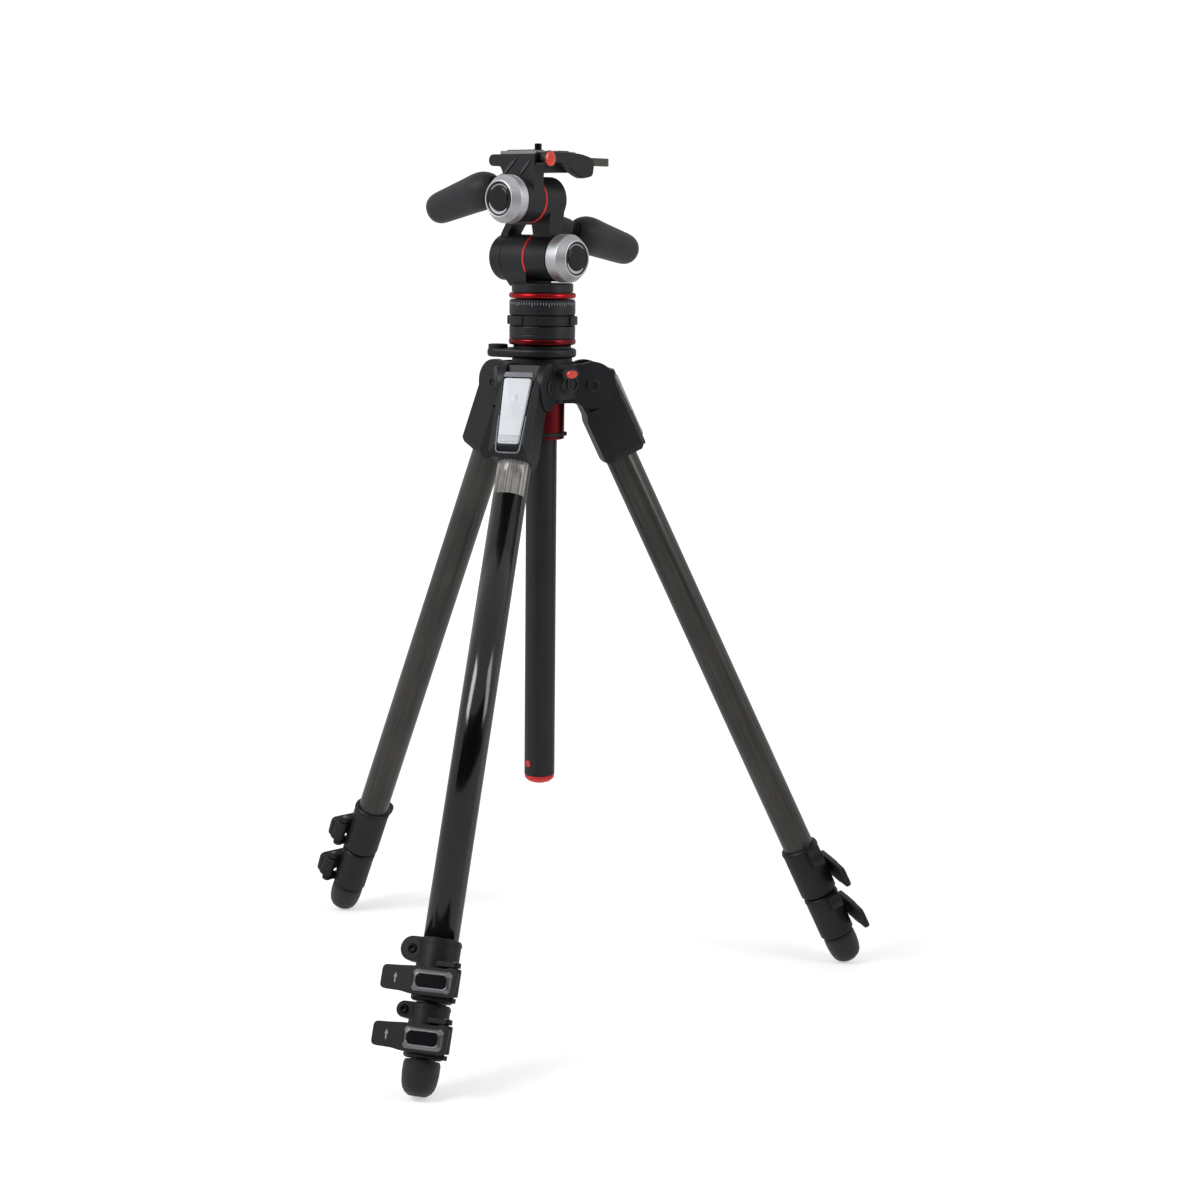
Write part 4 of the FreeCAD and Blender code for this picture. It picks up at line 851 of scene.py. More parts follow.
@dataclass
class LegClamp:
    """One lever clamp of a leg: collar, lever and their small parts.

    Attributes:
        level: "upper" or "lower".
        low: Lower end of the collar up the leg.
        top: Upper end.
        radius: Radius of the collar.
        collar_body: Prefix of the body that carries the collar.
        lip: Height of the collar's lip under the lever.
        lever_height: Height of the lever.
        face: How far the lever's face stands out from the tube's axis.
        pin_x: Place of the lever's pin across the leg.
        pin_out: Place of the pin outwards.
    """

    level: str
    low: float
    top: float
    radius: float
    collar_body: str
    lip: float = 4.0
    lever_height: float = 24.0
    face: float = 24.8
    pin_x: float = 20.5
    pin_out: float = 13.0

    def build(self, letter: str, leg: Matrix, nodes: dict[str, bpy.types.Object]) -> None:
        """Dress the collar and the lever and add their detail.

        Args:
            letter: The leg.
            leg: Its frame.
            nodes: The frame's nodes.
        """
        tag = f"{self.level}_{{}}_{letter}"
        dress(nodes, f"{self.level}_clamp_{letter}", NYLON, 0.45)
        collar = Maker(f"{self.collar_body}_{letter}", leg)
        lever = Maker(f"{self.level}_lever_{letter}_body", leg)
        self.collar_detail(collar, tag)
        self.lever(lever, tag, f"{self.level}_lever_{letter}")

    def collar_detail(self, collar: Maker, tag: str) -> None:
        """Pinch screw, pin cap and the thin rings of the collar.

        Args:
            collar: Maker for the collar's body.
            tag: Pattern for the names.
        """
        lever_top = self.low + self.lip + self.lever_height + 0.4
        ear_s = (lever_top + self.top) / 2 + 1
        ear_x = -(self.radius + 1.5)
        half = self.top - ear_s
        out = (0, -1, 0)
        collar.at((ear_x, -12.5, ear_s), out).screw(
            tag.format("pinch_screw"), min(3.8, half - 2.2), 1.6)
        collar.at((ear_x, -12.5, ear_s), out).lathe(
            tag.format("pinch_washer"),
            [(3.9, -0.3), (half - 1.6, -0.3), (half - 1.6, 0.35), (3.9, 0.35)],
            NYLON, soft=0.2, closed=True)
        collar.at((self.pin_x, -self.pin_out, lever_top + 4), (0, 0, 1), (0, 1, 0)).lathe(
            tag.format("pin_cap"),
            [(0, -0.3), (2.7, -0.3), (2.7, 0.5), (1.9, 0.9), (0, 0.9)], STEEL, soft=0.2, sides=40)
        collar.lathe(
            tag.format("top_ring"),
            [(self.radius - 0.8, self.top - 4.6), (self.radius + 0.45, self.top - 4.4),
             (self.radius + 0.45, self.top - 2.2), (self.radius - 0.8, self.top - 2.0)],
            NYLON, soft=0.3, closed=True)

    def lever(self, lever: Maker, tag: str, node: str) -> None:
        """The sculpted lever: band, knuckle, frame in painted highlight grey, dark window and thumb
        mark.

        Args:
            lever: Maker for the lever's body.
            tag: Pattern for the names.
            node: CAD node that the band stands for.
        """
        low, high = self.low + self.lip, self.low + self.lip + self.lever_height
        middle = (low + high) / 2 - 1.4
        front = lever.at((0, 0, middle), (0, -1, 0))
        inner, face = self.face - 5.0, self.face
        band = [
            (-38.0, -9.4), (-20.0, -9.9), (-13.0, -11.4), (23.0, -11.7), (26.2, -9.0),
            (27.2, 8.4), (24.6, 11.2), (-12.0, 11.4), (-22.0, 10.6), (-38.0, 10.0)]
        thin = [(x * 0.985 + 0.2, y * 0.955) for x, y in band]
        front.loft(
            tag.format("lever_band"),
            [(thin, inner), (band, inner + 0.9), (band, face - 1.3), (thin, face)],
            NYLON, soft=4.2, bevel=0.0, replaces=[node])
        lever.slab(
            tag.format("lever_knuckle"),
            [(15.0, -20.4), (26.6, -20.4), (27.3, -15.5), (25.2, -9.4), (20.6, -7.6),
             (16.2, -9.8), (15.2, -13.6)],
            low + 0.9, high - 0.9, NYLON, soft=3.0, bevel=0.8)
        x_mid, outer_w, outer_h = 6.4, 34.0, 18.2
        steps = (
            (0.0, 0.0, -0.6), (0.0, 0.0, 0.35), (5.4, 5.6, 2.3), (6.6, 6.6, 2.3),
            (7.4, 7.2, 0.9))
        frame = front.at((x_mid, -0.2, face), (0, 0, 1), (0, 1, 0))
        frame.loft(
            tag.format("lever_frame"),
            [(rectangle(outer_w - w, outer_h - h, 2.6), z) for w, h, z in steps],
            FRAME_HIGHLIGHT_GREY, soft=1.2, bevel=0.0)
        frame.slab(
            tag.format("lever_window"),
            rectangle(outer_w - 7.2, outer_h - 7.0, 2.4), 0.6, 1.5, POLISHED_NYLON,
            soft=1.2, bevel=0.3)
        tab = front.at((-25.2, 0.2, face - 0.35), (0, 0, 1), (0, 1, 0))
        tab.slab(
            tag.format("thumb_mark"), [(-0.5, -4.2), (0.5, -4.2), (0.7, 0.2), (1.7, 0.4),
                                       (0, 4.2), (-1.7, 0.4), (-0.7, 0.2)],
            -0.3, 0.75, SCALE_INK, bevel=0.1)


@dataclass
class Leg:
    """One three-section leg with its top casting and angle catch.

    Attributes:
        letter: The leg.
        frame: Its frame, Z up the tube and -Y outwards.
        upper_r: Outer radius of the upper tube; middle_r and lower_r are the others'.
        wall: Wall of every tube.
        upper_low: Lower end of the upper tube, and upper_top its upper end.
        middle_low: Lower end of the middle tube.
        lower_low: Lower end of the lower tube.
        inner_top: Upper end of both inner tubes.
        casting_out: How far the casting's front face stands out.
        film: Lower end, upper end and half angle of the black film on the front leg.
        pale: The same of the pale strands over it, drawn as painted glare on the carbon.
        clamps: The two lever clamps.
    """

    letter: str
    frame: Matrix
    upper_r: float = 14.6
    middle_r: float = 12.4
    lower_r: float = 10.2
    wall: float = 1.5
    upper_low: float = 113.0
    upper_top: float = 590.0
    middle_low: float = 60.0
    inner_top: float = 585.0
    lower_low: float = 12.0
    casting_out: float = 23.5
    film: tuple[float, float, float] = (131.6, 517.0, 66.0)
    pale: tuple[float, float, float] = (517.3, 566.0, 74.0)
    clamps: tuple[LegClamp, ...] = field(default_factory=lambda: (
        LegClamp("upper", 80.0, 131.0, 17.6, "leg"),
        LegClamp("lower", 34.0, 78.0, 16.5, "middle_section"),
    ))

    def build(self, nodes: dict[str, bpy.types.Object]) -> None:
        """Make the whole leg.

        Args:
            nodes: The frame's nodes.
        """
        self.tubes()
        self.foot()
        for clamp in self.clamps:
            clamp.build(self.letter, self.frame, nodes)
        self.casting(nodes)
        if self.letter == "a":
            self.wrap("film_panel_a", *self.film, FILM)
            # Above the film the tube's front carries pale streaks of painted glare.
            self.wrap("painted_glare_fibre_a", *self.pale, GLARE_STREAK_CARBON)

    def tube(self, name: str, body: str, radius: float, low: float, top: float) -> None:
        """One carbon tube.

        Args:
            name: CAD node that it stands for.
            body: Body it rides on.
            radius: Outer radius.
            low: Lower end up the leg.
            top: Upper end.
        """
        bore = radius - self.wall
        Maker(body, self.frame).lathe(
            f"{name}_carbon", [(bore, low), (radius, low), (radius, top), (bore, top)],
            CARBON, soft=0.3, closed=True, replaces=[name])

    def tubes(self) -> None:
        """The three tubes."""
        x = self.letter
        self.tube(f"upper_tube_{x}", f"leg_{x}", self.upper_r, self.upper_low, self.upper_top)
        self.tube(
            f"middle_tube_{x}", f"middle_section_{x}", self.middle_r, self.middle_low,
            self.inner_top)
        self.tube(
            f"lower_tube_{x}", f"lower_section_{x}", self.lower_r, self.lower_low, self.inner_top)

    def foot(self) -> None:
        """The rubber foot, with a moulding line and a chamfered tread."""
        seat = self.lower_r
        Maker(f"lower_section_{self.letter}", self.frame).lathe(
            f"foot_{self.letter}_rubber",
            [(0, 3.9), (7.2, 3.9), (11.6, 7.2), (12.4, 9.0), (13.1, 9.4), (14.6, 14.5),
             (15.4, 22.0), (15.4, 29.6), (14.4, 32.8), (seat, 33.0), (seat, 12.0), (0, 12.0)],
            RUBBER, soft=1.1, replaces=[f"foot_{self.letter}"])

    def casting(self, nodes: dict[str, bpy.types.Object]) -> None:
        """The top casting and its catch.

        Args:
            nodes: The frame's nodes.
        """
        x = self.letter
        dress(nodes, f"leg_casting_{x}", CASTING, 0.9)
        body = Maker(f"leg_{x}", self.frame)
        front = body.at((0, -self.casting_out, 0), (0, -1, 0))
        # The grey lip round the catch and the grey hood above it are painted highlights along the
        # casting's edges.
        lip = [(-12.4, 584), (-11.8, 568), (-11.0, 556.5)]
        lip += [(-11.0 + 4 - 4 * math.cos(t), 554 - 4 * math.sin(t)) for t in (0.3, 0.8, 1.3)]
        lip += [(-x_, y_) for x_, y_ in lip[::-1]]
        front.strip(f"catch_lip_painted_highlight_{x}", lip, [1.5], -0.9, 0.85, EDGE_HIGHLIGHT_GREY, bevel=0.35)
        front.slab(
            f"catch_hood_painted_highlight_{x}", [(-13.6, 619.6), (13.6, 619.6), (12.6, 624.4), (-12.6, 624.4)],
            -1.0, 1.5, EDGE_HIGHLIGHT_GREY, soft=0.8, bevel=0.5)
        self.catch()

    def catch(self) -> None:
        """The silver angle catch: a tapered tab with a dimple and a grey foot band."""
        x = self.letter
        body = Maker(f"angle_catch_{x}_body", self.frame)
        face = body.at((0, -(self.casting_out + 0.15), 0), (0, -1, 0))
        tab = [(-9.9, 557.4), (9.9, 557.4), (12.8, 618.8), (-12.8, 618.8)]
        slim = [(u * 0.93, 588 + (v - 588) * 0.975) for u, v in tab]
        face.loft(
            f"angle_catch_{x}_tab", [(slim, -2.4), (tab, -1.6), (tab, 0.9), (slim, 2.3)],
            BLASTED_ALUMINIUM, soft=2.6, bevel=0.0, replaces=[f"angle_catch_{x}"])
        face.slab(
            f"catch_band_{x}",
            [(-8.9, 559.2), (8.9, 559.2), (9.5, 565.4), (-9.5, 565.4)], 1.6, 2.5,
            STEEL, soft=1.6, bevel=0.2)
        face.at((0, 600, 2.2), (0, 0, 1), (0, 1, 0)).dome(
            f"catch_dimple_{x}", 7.0, 7.0, -0.2, 0.4, BLASTED_ALUMINIUM)

    def wrap(self, name: str, low: float, top: float, half: float, finish: Finish) -> None:
        """A thin wrap round the front of the upper tube.

        Args:
            name: Name of the piece.
            low: Lower end up the leg.
            top: Upper end.
            half: How far it reaches each way round the tube, degrees.
            finish: Its surface.
        """
        stand_off, thickness, steps = 0.16, 0.22, 40
        radius = self.upper_r + stand_off
        mesh = bmesh.new()
        angles = [math.radians(-90 + half * (2 * k / steps - 1)) for k in range(steps + 1)]
        rows = [
            [mesh.verts.new((radius * math.cos(a), radius * math.sin(a), s)) for a in angles]
            for s in (low, top)]
        for k in range(len(angles) - 1):
            mesh.faces.new((rows[0][k], rows[0][k + 1], rows[1][k + 1], rows[1][k]))
        item = Maker("leg_a", self.frame).piece(name, mesh, finish)
        shell = item.modifiers.new("film", "SOLIDIFY")
        shell.thickness = thickness * MM
        shell.offset = -1


# ------------------------------------------------------------------ hub and column


@dataclass
class Hub:
    """The spider, its sleeve, the column and the level arm.

    Attributes:
        layout: Frames of the sub-assemblies.
        column_r: Radius of the centre column.
        sleeve_r: Radius of the sleeve under the hub.
        sleeve_low: Lower end of the sleeve.
        hub_low: Underside of the hub.
        socket_azimuth: Which way the accessory socket faces, degrees.
        level_turn: Which way the level arm points, degrees.
        hinge_out: How far a leg's hinge is from the column's axis.
        hinge_z: Height of the hinges.
        hinge_half: Half the width of a hinge, where its screws sit.
        web_z: Height of the pads between the legs.
    """

    layout: Layout
    column_r: float = 13.9
    sleeve_r: float = 20.5
    sleeve_low: float = 511.0
    hub_low: float = 544.0
    socket_azimuth: float = 60.0
    level_turn: float = -71.5
    hinge_out: float = 42.4
    hinge_z: float = 560.0
    hinge_half: float = 21.0
    web_z: float = 571.0

    def build(self, nodes: dict[str, bpy.types.Object]) -> None:
        """Make the hub and the column.

        Args:
            nodes: The frame's nodes.
        """
        for name, finish, bevel in (
            ("spider", CASTING, 0.8), ("leg_pivot_pins", STEEL, 0.2),
            ("column_lock_knob", NYLON, 0.6),
            ("column_head", STEEL, 0.2), ("mounting_stud", STEEL, 0.2),
        ):
            dress(nodes, name, finish, bevel)
        self.spider_detail()
        self.sleeve()
        self.column()
        self.level_arm()

    @staticmethod
    def toward(azimuth: float) -> Vector:
        """Level direction of an azimuth, 0 along -Y and 90 along +X."""
        angle = math.radians(azimuth)
        return Vector((math.sin(angle), -math.cos(angle), 0))

    def spider_detail(self) -> None:
        """Hinge screws, the red badge on its pad and the socket's rim."""
        hub = Maker("tripod_spider", self.layout.column)
        for k, letter in enumerate(LETTERS):
            azimuth = (0, -120, 120)[k]
            out = self.toward(azimuth)
            across = Vector((0, 0, 1)).cross(out)
            for side, name in ((1, "right"), (-1, "left")):
                spot = out * self.hinge_out + across * (side * self.hinge_half)
                spot += Vector((0, 0, self.hinge_z))
                hub.at(spot, across * side).screw(
                    f"hinge_screw_{letter}_{name}", 6.4, 1.9, CASTING)
        for azimuth, name in ((60, "front"), (-60, "side")):
            out = self.toward(azimuth)
            spot = out * 30 + Vector((0, 0, self.web_z)) - Vector((0, 0, 1)).cross(out) * 2.6
            pad = hub.at(spot, out)
            pad.slab(
                f"web_pad_{name}", rectangle(20, 9.6, 3.2), -4, 12.2, CASTING,
                soft=1.6, bevel=0.8)
            if name == "front":
                pad.dome("web_badge", 13.4, 7.0, 12.0, 1.5, DOMED_RESIN)
        out = self.toward(self.socket_azimuth)
        hub.at(out * 41 + Vector((0, 0, 562.0)), out).lathe(
            "socket_rim",
            [(4.9, -1.5), (6.9, -1.5), (6.9, 0.3), (6.3, 0.7), (5.2, 0.7), (4.9, 0.4)],
            CASTING, soft=0.2, closed=True, sides=64)

    def sleeve(self) -> None:
        """The red sleeve under the hub, with its black band and red rim."""
        hub = Maker("tripod_spider", self.layout.column)
        bore = self.column_r + 0.06
        low, outer = self.sleeve_low, self.sleeve_r
        hub.lathe(
            "column_sleeve_red",
            [(bore, low), (outer - 0.9, low), (outer, low + 0.8), (outer, low + 2.4),
             (outer - 1.0, low + 2.8), (outer - 1.0, low + 6.0), (outer, low + 6.4),
             (outer, self.hub_low), (bore, self.hub_low)],
            RED_ANODISED, soft=0.3, closed=True, replaces=["column_sleeve"])
        hub.lathe(
            "column_sleeve_band",
            [(outer - 1.2, low + 2.7), (outer + 0.25, low + 2.7), (outer + 0.25, low + 6.1),
             (outer - 1.2, low + 6.1)], NYLON, soft=0.4, closed=True)
        out = self.toward(108)
        hub.at(out * (outer - 0.5) + Vector((0, 0, low + 4.6)), out).lathe(
            "column_sleeve_stop", [(0, -0.5), (2.0, -0.5), (2.0, 2.0), (1.3, 2.9), (0, 2.9)],
            NYLON, soft=0.3, sides=32)

    def column(self) -> None:
        """The centre column, its red button and its red end cap."""
        column = Maker("centre_column", self.layout.column)
        radius, low, top, bore = self.column_r, 200.7, 595.5, 12.3
        column.lathe(
            "column_tube_black", [(bore, low), (radius, low), (radius, top), (bore, top)],
            BLACK_ANODISED, soft=0.3, closed=True, replaces=["column_tube"])
        column.lathe(
            "column_end_cap_red",
            [(0, 192.5), (5.5, 193.0), (10.2, 194.6), (13.4, 197.6), (13.5, low), (bore, low),
             (bore, low + 14), (0, low + 14)], RED_ACETAL, soft=0.8,
            replaces=["column_end_cap"])
        out = self.toward(-33)
        column.at(out * (radius - 0.25) + Vector((0, 0, 212.0)), out).dome(
            "column_button", 6.6, 6.6, -0.6, 1.35, RED_ACETAL)

    def level_arm(self) -> None:
        """The turning plate, teardrop shaped, with the bubble vial in its lobe."""
        out = self.toward(self.level_turn)
        arm = Maker("level_arm_body", self.layout.column)
        plate = arm.at((0, 0, 0), (0, 0, 1), Vector((0, 0, 1)).cross(out))
        big, small, reach, bore, count = 30.6, 9.6, 39.5, 18.4, 120
        meet = math.acos((big - small) / reach)
        near = math.atan2(small * math.sin(meet), reach + small * math.cos(meet))
        outline, hole = [], []
        for k in range(count):
            turn = 2 * math.pi * k / count - math.pi
            side = abs(turn)
            edge = big
            if side < near:
                edge = reach * math.cos(side)
                edge += math.sqrt(small ** 2 - (reach * math.sin(side)) ** 2)
            elif side < meet:
                edge = big / math.cos(side - meet)
            outline.append((edge * math.cos(turn), edge * math.sin(turn)))
            hole.append((bore * math.cos(turn), bore * math.sin(turn)))
        plate.slab(
            "level_arm_plate", outline, 584.3, 592.2, NYLON, bevel=2.4, hole=hole,
            replaces=["level_arm"])
        arm.lathe(
            "level_arm_neck", [(bore, 592.0), (26.0, 592.0), (26.0, 594.6), (25.2, 595.1),
                               (bore, 595.1)], NYLON, soft=0.3, closed=True)
        spot = out * reach + Vector((0, 0, 592.0))
        cup = arm.at(spot, (0, 0, 1), (0, 1, 0))
        cup.lathe(
            "level_vial", [(0, 0.1), (6.9, 0.1), (6.9, 2.5), (5.4, 3.0), (2.6, 3.3), (0, 3.35)],
            VIAL_SPIRIT, soft=0.5, sides=64)
        cup.lathe(
            "level_vial_ring", [(2.5, 3.2), (3.0, 3.2), (3.0, 3.45), (2.5, 3.45)],
            BLACK_STEEL, soft=0.05, closed=True, sides=64)
        cup.lathe(
            "level_vial_rim", [(6.9, -0.4), (8.7, -0.4), (8.7, 3.0), (8.0, 3.7), (6.9, 3.2)],
            NYLON, soft=0.3, closed=True, sides=64)


# ------------------------------------------------------------------ head


@dataclass
class Head:
    """Everything above the column: base, pan, tilt and roll stages and the plate.

    Attributes:
        layout: Frames of the sub-assemblies.
        tilt_z: Height of the tilt axis.
        roll_z: Height of the roll axis.
        knob_r: Radius of both friction knobs.
        tilt_knob: Inner and outer end of the tilt knob along its axis.
        roll_knob: The same of the roll knob.
        tilt_drop: How many degrees the tilt handle hangs down.
        roll_drop: The same of the roll handle.
        plate_top: Top of the camera plate.
        plate_u: Middle of the camera plate along the roll axis.
        plate_v: The same along the tilt axis.
        badge: Place of the lever badge's seat.
    """

    layout: Layout
    tilt_z: float = 672.0
    roll_z: float = 723.0
    knob_r: float = 21.0
    tilt_knob: tuple[float, float] = (20.6, 40.8)
    roll_knob: tuple[float, float] = (40.6, 58.0)
    tilt_drop: float = 12.95
    roll_drop: float = 16.17
    plate_top: float = 765.0
    plate_u: float = 3.0
    plate_v: float = -3.6
    badge: tuple[float, float, float] = (24.0, 28.6, 758.0)

    def build(self, nodes: dict[str, bpy.types.Object]) -> None:
        """Make the head.

        Args:
            nodes: The frame's nodes.
        """
        for name, finish, bevel in (
            ("quick_lock_ring", NYLON, 0.5), ("pan_base", CASTING, 0.4),
            ("pan_lock_knob", NYLON, 0.5), ("pan_housing", CASTING, 0.7),
            ("tilt_yoke", CASTING, 0.8), ("platform", CASTING, 0.8),
            ("plate_safety_catch", GREY_NYLON, 0.8),
            ("camera_plate", PLATE, 0.4), ("camera_screw", BLACK_STEEL, 0.2),
            ("tilt_shaft", STEEL, 0.2), ("roll_shaft", STEEL, 0.2),
        ):
            dress(nodes, name, finish, bevel)
        self.base()
        self.pan()
        self.knob("tilt", (0, 1, 0), self.tilt_z, *self.tilt_knob)
        self.knob("roll", (1, 0, 0), self.roll_z, *self.roll_knob)
        self.seams()
        self.handle("tilt", (0, 7.5, 704.0), self.down((-1, 0, 0), self.tilt_drop), 10.0)
        self.handle("roll", (25.0, 0, 745.0), self.down((0, -1, 0), self.roll_drop), 12.0)
        self.plate()

    @staticmethod
    def down(level: Point, drop: float) -> Vector:
        """A level direction tipped down by so many degrees."""
        angle = math.radians(drop)
        return Vector(level) * math.cos(angle) - Vector((0, 0, math.sin(angle)))

    def base(self) -> None:
        """The red ring and the cup that the head locks on to."""
        base = Maker("centre_column", self.layout.column)
        base.lathe(
            "quick_base_ring_red",
            [(22, 595.6), (28.9, 595.6), (30.0, 596.9), (30.0, 599.8), (29.3, 601.0), (22, 601.0)],
            RED_ANODISED, soft=0.5, closed=True, replaces=["quick_base_ring"])
        base.lathe(
            "quick_base_cup",
            [(4.9, 601.0), (28.8, 601.0), (29.5, 601.8), (29.5, 604.2), (29.2, 604.5),
             (29.2, 605.0), (29.5, 605.3), (29.5, 611.6), (28.9, 612.4), (24.0, 612.4),
             (24.0, 618.4), (22.9, 618.4), (22.9, 608.5), (4.9, 608.5)],
            CASTING, soft=0.3, closed=True, replaces=["quick_base"])

    def pan(self) -> None:
        """The degree scale and the red ring over it."""
        scale = Maker("head_base", self.layout.column)
        between, base_r, tick_top = 5.0, 29.42, 633.4  # degrees and millimetres
        for k in range(72):
            out = Hub.toward(between * k)
            tall = 3.4 if k % 6 == 0 else 2.2
            mark = scale.at(out * base_r + Vector((0, 0, tick_top - tall / 2)), out)
            mark.slab(
                f"scale_tick_{k:02d}", rectangle(0.45, tall), -0.2, 0.14, SCALE_INK, bevel=0.0)
        scale.lathe(
            "pan_base_groove", [(28.9, 625.4), (29.62, 625.5), (29.62, 626.4), (28.9, 626.5)],
            CASTING, soft=0.1, closed=True)
        turn = Maker("pan_head", self.layout.head)
        turn.lathe(
            "pan_ring_red",
            [(14.3, 636.6), (28.6, 636.6), (30.0, 638.0), (30.0, 640.2), (28.6, 641.6),
             (14.3, 641.6)],
            BRIGHT_RED_ANODISED, soft=0.8, closed=True, replaces=["pan_ring"])
        turn.lathe(
            "pan_ring_gap", [(14.4, 641.4), (26.6, 641.4), (26.6, 642.6), (14.4, 642.6)],
            CASTING, soft=0.1, closed=True)

    def knob(self, axis: str, toward: Point, height: float, start: float, end: float) -> None:
        """A silver friction knob with its black face and arc marks.

        Args:
            axis: "tilt" or "roll".
            toward: Direction the knob faces.
            height: Height of its axis.
            start: Inner end along the axis.
            end: Outer end.
        """
        knob = Maker(f"{axis}_knob_body", self.layout.head).at((0, 0, height), toward)
        edge = self.knob_r
        knob.lathe(
            f"{axis}_knob_silver",
            [(6.1, start), (edge - 1.2, start), (edge, start + 1.2), (edge, end - 7.2),
             (edge - 0.5, end - 6.4), (edge - 4.3, end - 0.9), (edge - 5.1, end),
             (edge - 6.2, end), (edge - 6.4, end - 1.5), (6.1, end - 1.5)],
            TURNED_ALUMINIUM, soft=0.7, sides=160, closed=True,
            replaces=[f"{axis}_friction_knob"])
        knob.lathe(
            f"{axis}_knob_face",
            [(0, end - 1.6), (14.55, end - 1.6), (14.55, end - 1.0), (13.9, end - 0.75),
             (13.6, end - 1.15), (10.6, end - 1.15), (10.1, end - 0.5), (9.4, end - 0.3),
             (0, end - 0.25)],
            POLISHED_NYLON, soft=0.3, sides=128)
        count = 32
        swell = [0.25 + 2.1 * math.sin(math.pi * k / count) ** 0.6 for k in range(count + 1)]
        knob.strip(
            f"{axis}_knob_crescent", arc(12.15, 196, 318, count), swell, end - 1.3, end - 0.85,
            TURNED_ALUMINIUM, bevel=0.1)
        knob.strip(
            f"{axis}_knob_arc", arc(12.3, 45, 140, count), [1.1], end - 1.3, end - 1.0,
            SCALE_INK, bevel=0.08)
        for k in range(3):
            groove = start + 2.4 + 0.9 * k
            knob.lathe(
                f"{axis}_knob_line_{k}",
                [(edge - 0.4, groove), (edge + 0.05, groove + 0.1), (edge + 0.05, groove + 0.35),
                 (edge - 0.4, groove + 0.45)],
                TURNED_ALUMINIUM, soft=0.05, sides=128, closed=True)

    def seams(self) -> None:
        """The red rings where a barrel meets its neighbour."""
        yoke = Maker("tilt_head", self.layout.head).at((0, 0, self.roll_z), (1, 0, 0))
        yoke.lathe(
            "roll_seam_ring", [(18.6, 16.5), (20.45, 16.5), (20.45, 18.6), (18.6, 18.6)],
            RED_ACETAL, soft=0.4, sides=128, closed=True)
        pan = Maker("pan_head", self.layout.head).at((0, 0, self.tilt_z), (0, 1, 0))
        pan.lathe(
            "tilt_seam_ring", [(19.0, -6.7), (20.9, -6.7), (20.9, -4.55), (19.0, -4.55)],
            RED_ACETAL, soft=0.4, sides=128, closed=True)

    def handle(self, axis: str, spot: Point, toward: Vector, start: float) -> None:
        """A short retractable handle: steel rod, ribbed neck and soft grip.

        Args:
            axis: "tilt" or "roll".
            spot: Point on the handle's axis.
            toward: Direction from the head to the grip's end.
            start: Inner end of the rod along the axis.
        """
        rod = Maker(f"{axis}_handle_body", self.layout.head).at(spot, toward)
        neck = [(0, start), (5.0, start), (5.0, 26.0), (7.2, 26.8)]
        for k in range(3):
            at = 27.4 + 2.2 * k
            neck += [(7.3, at), (7.3, at + 1.2), (6.5, at + 1.5), (6.5, at + 1.9)]
        neck += [(6.9, 34.2), (5.0, 34.5), (5.0, 109.0), (0, 109.0)]
        rod.lathe(
            f"{axis}_handle_rod_steel", neck, BLACK_STEEL, soft=0.3, sides=64,
            replaces=[f"{axis}_handle_rod"])
        grip = Maker(f"{axis}_grip_body", self.layout.head).at(spot, toward)
        profile = [
            (5.06, 35), (8.3, 35), (9.4, 35.8), (12.3, 38.4), (14.6, 42.5), (16.2, 47.0),
            (16.95, 52.0), (16.9, 58.5), (16.4, 65.0), (15.8, 76.0), (15.1, 90.0),
            (14.4, 104.0), (13.7, 109.6), (11.8, 114.0), (8.6, 116.2), (4.6, 116.9), (0, 117),
        ]
        grip.lathe(
            f"{axis}_handle_grip_soft", profile + [(0, 111.0), (5.06, 111.0)], SOFT_GRIP,
            soft=1.6, sides=128, replaces=[f"{axis}_handle_grip"])

    def plate(self) -> None:
        """The sculpted plate lever and its badge, the deck's ribs in painted highlight grey and the
        camera pads.
        """
        lever = Maker("plate_lever_body", self.layout.head)
        side = [
            (28.7, 755.0), (27.6, 762.6), (22.0, 764.3), (-2.0, 764.4), (-20.0, 763.2),
            (-31.0, 760.6), (-35.6, 757.4), (-35.0, 749.0), (-33.6, 743.4), (-22.0, 741.6),
            (-12.0, 745.2), (-3.0, 751.2), (8.0, 755.0), (20.0, 754.9)]
        waist, slimmer = 756.0, 0.93
        sections = []
        for across, reach, share in (
            (19.2, 25.5, slimmer), (20.6, 27.4, 1.0), (22.8, 28.7, 1.0), (26.0, 28.7, 1.0),
            (28.9, 28.0, slimmer),
        ):
            sections.append(
                ([(-min(u, reach), waist + (z - waist) * share) for u, z in side], across))
        lever.at((0, 0, 0), (0, 1, 0)).loft(
            "plate_lever_sculpted", sections, CASTING, soft=3.6, bevel=0.6,
            replaces=["plate_lever"])
        lever.at(self.badge, (0, 1, 0)).lathe(
            "lever_badge_seat", [(0, -0.6), (7.0, -0.6), (7.0, 0.6), (6.4, 1.1), (0, 1.1)],
            CASTING, soft=0.5)
        lens = Vector(self.badge) + Vector((0, 0.75, 0))
        lever.at(lens, (0, 1, 0)).dome("lever_badge", 13.2, 13.2, -0.4, 2.2, DOMED_RESIN)
        deck = Maker("roll_head", self.layout.head).at((32.0, 0, 0), (1, 0, 0))
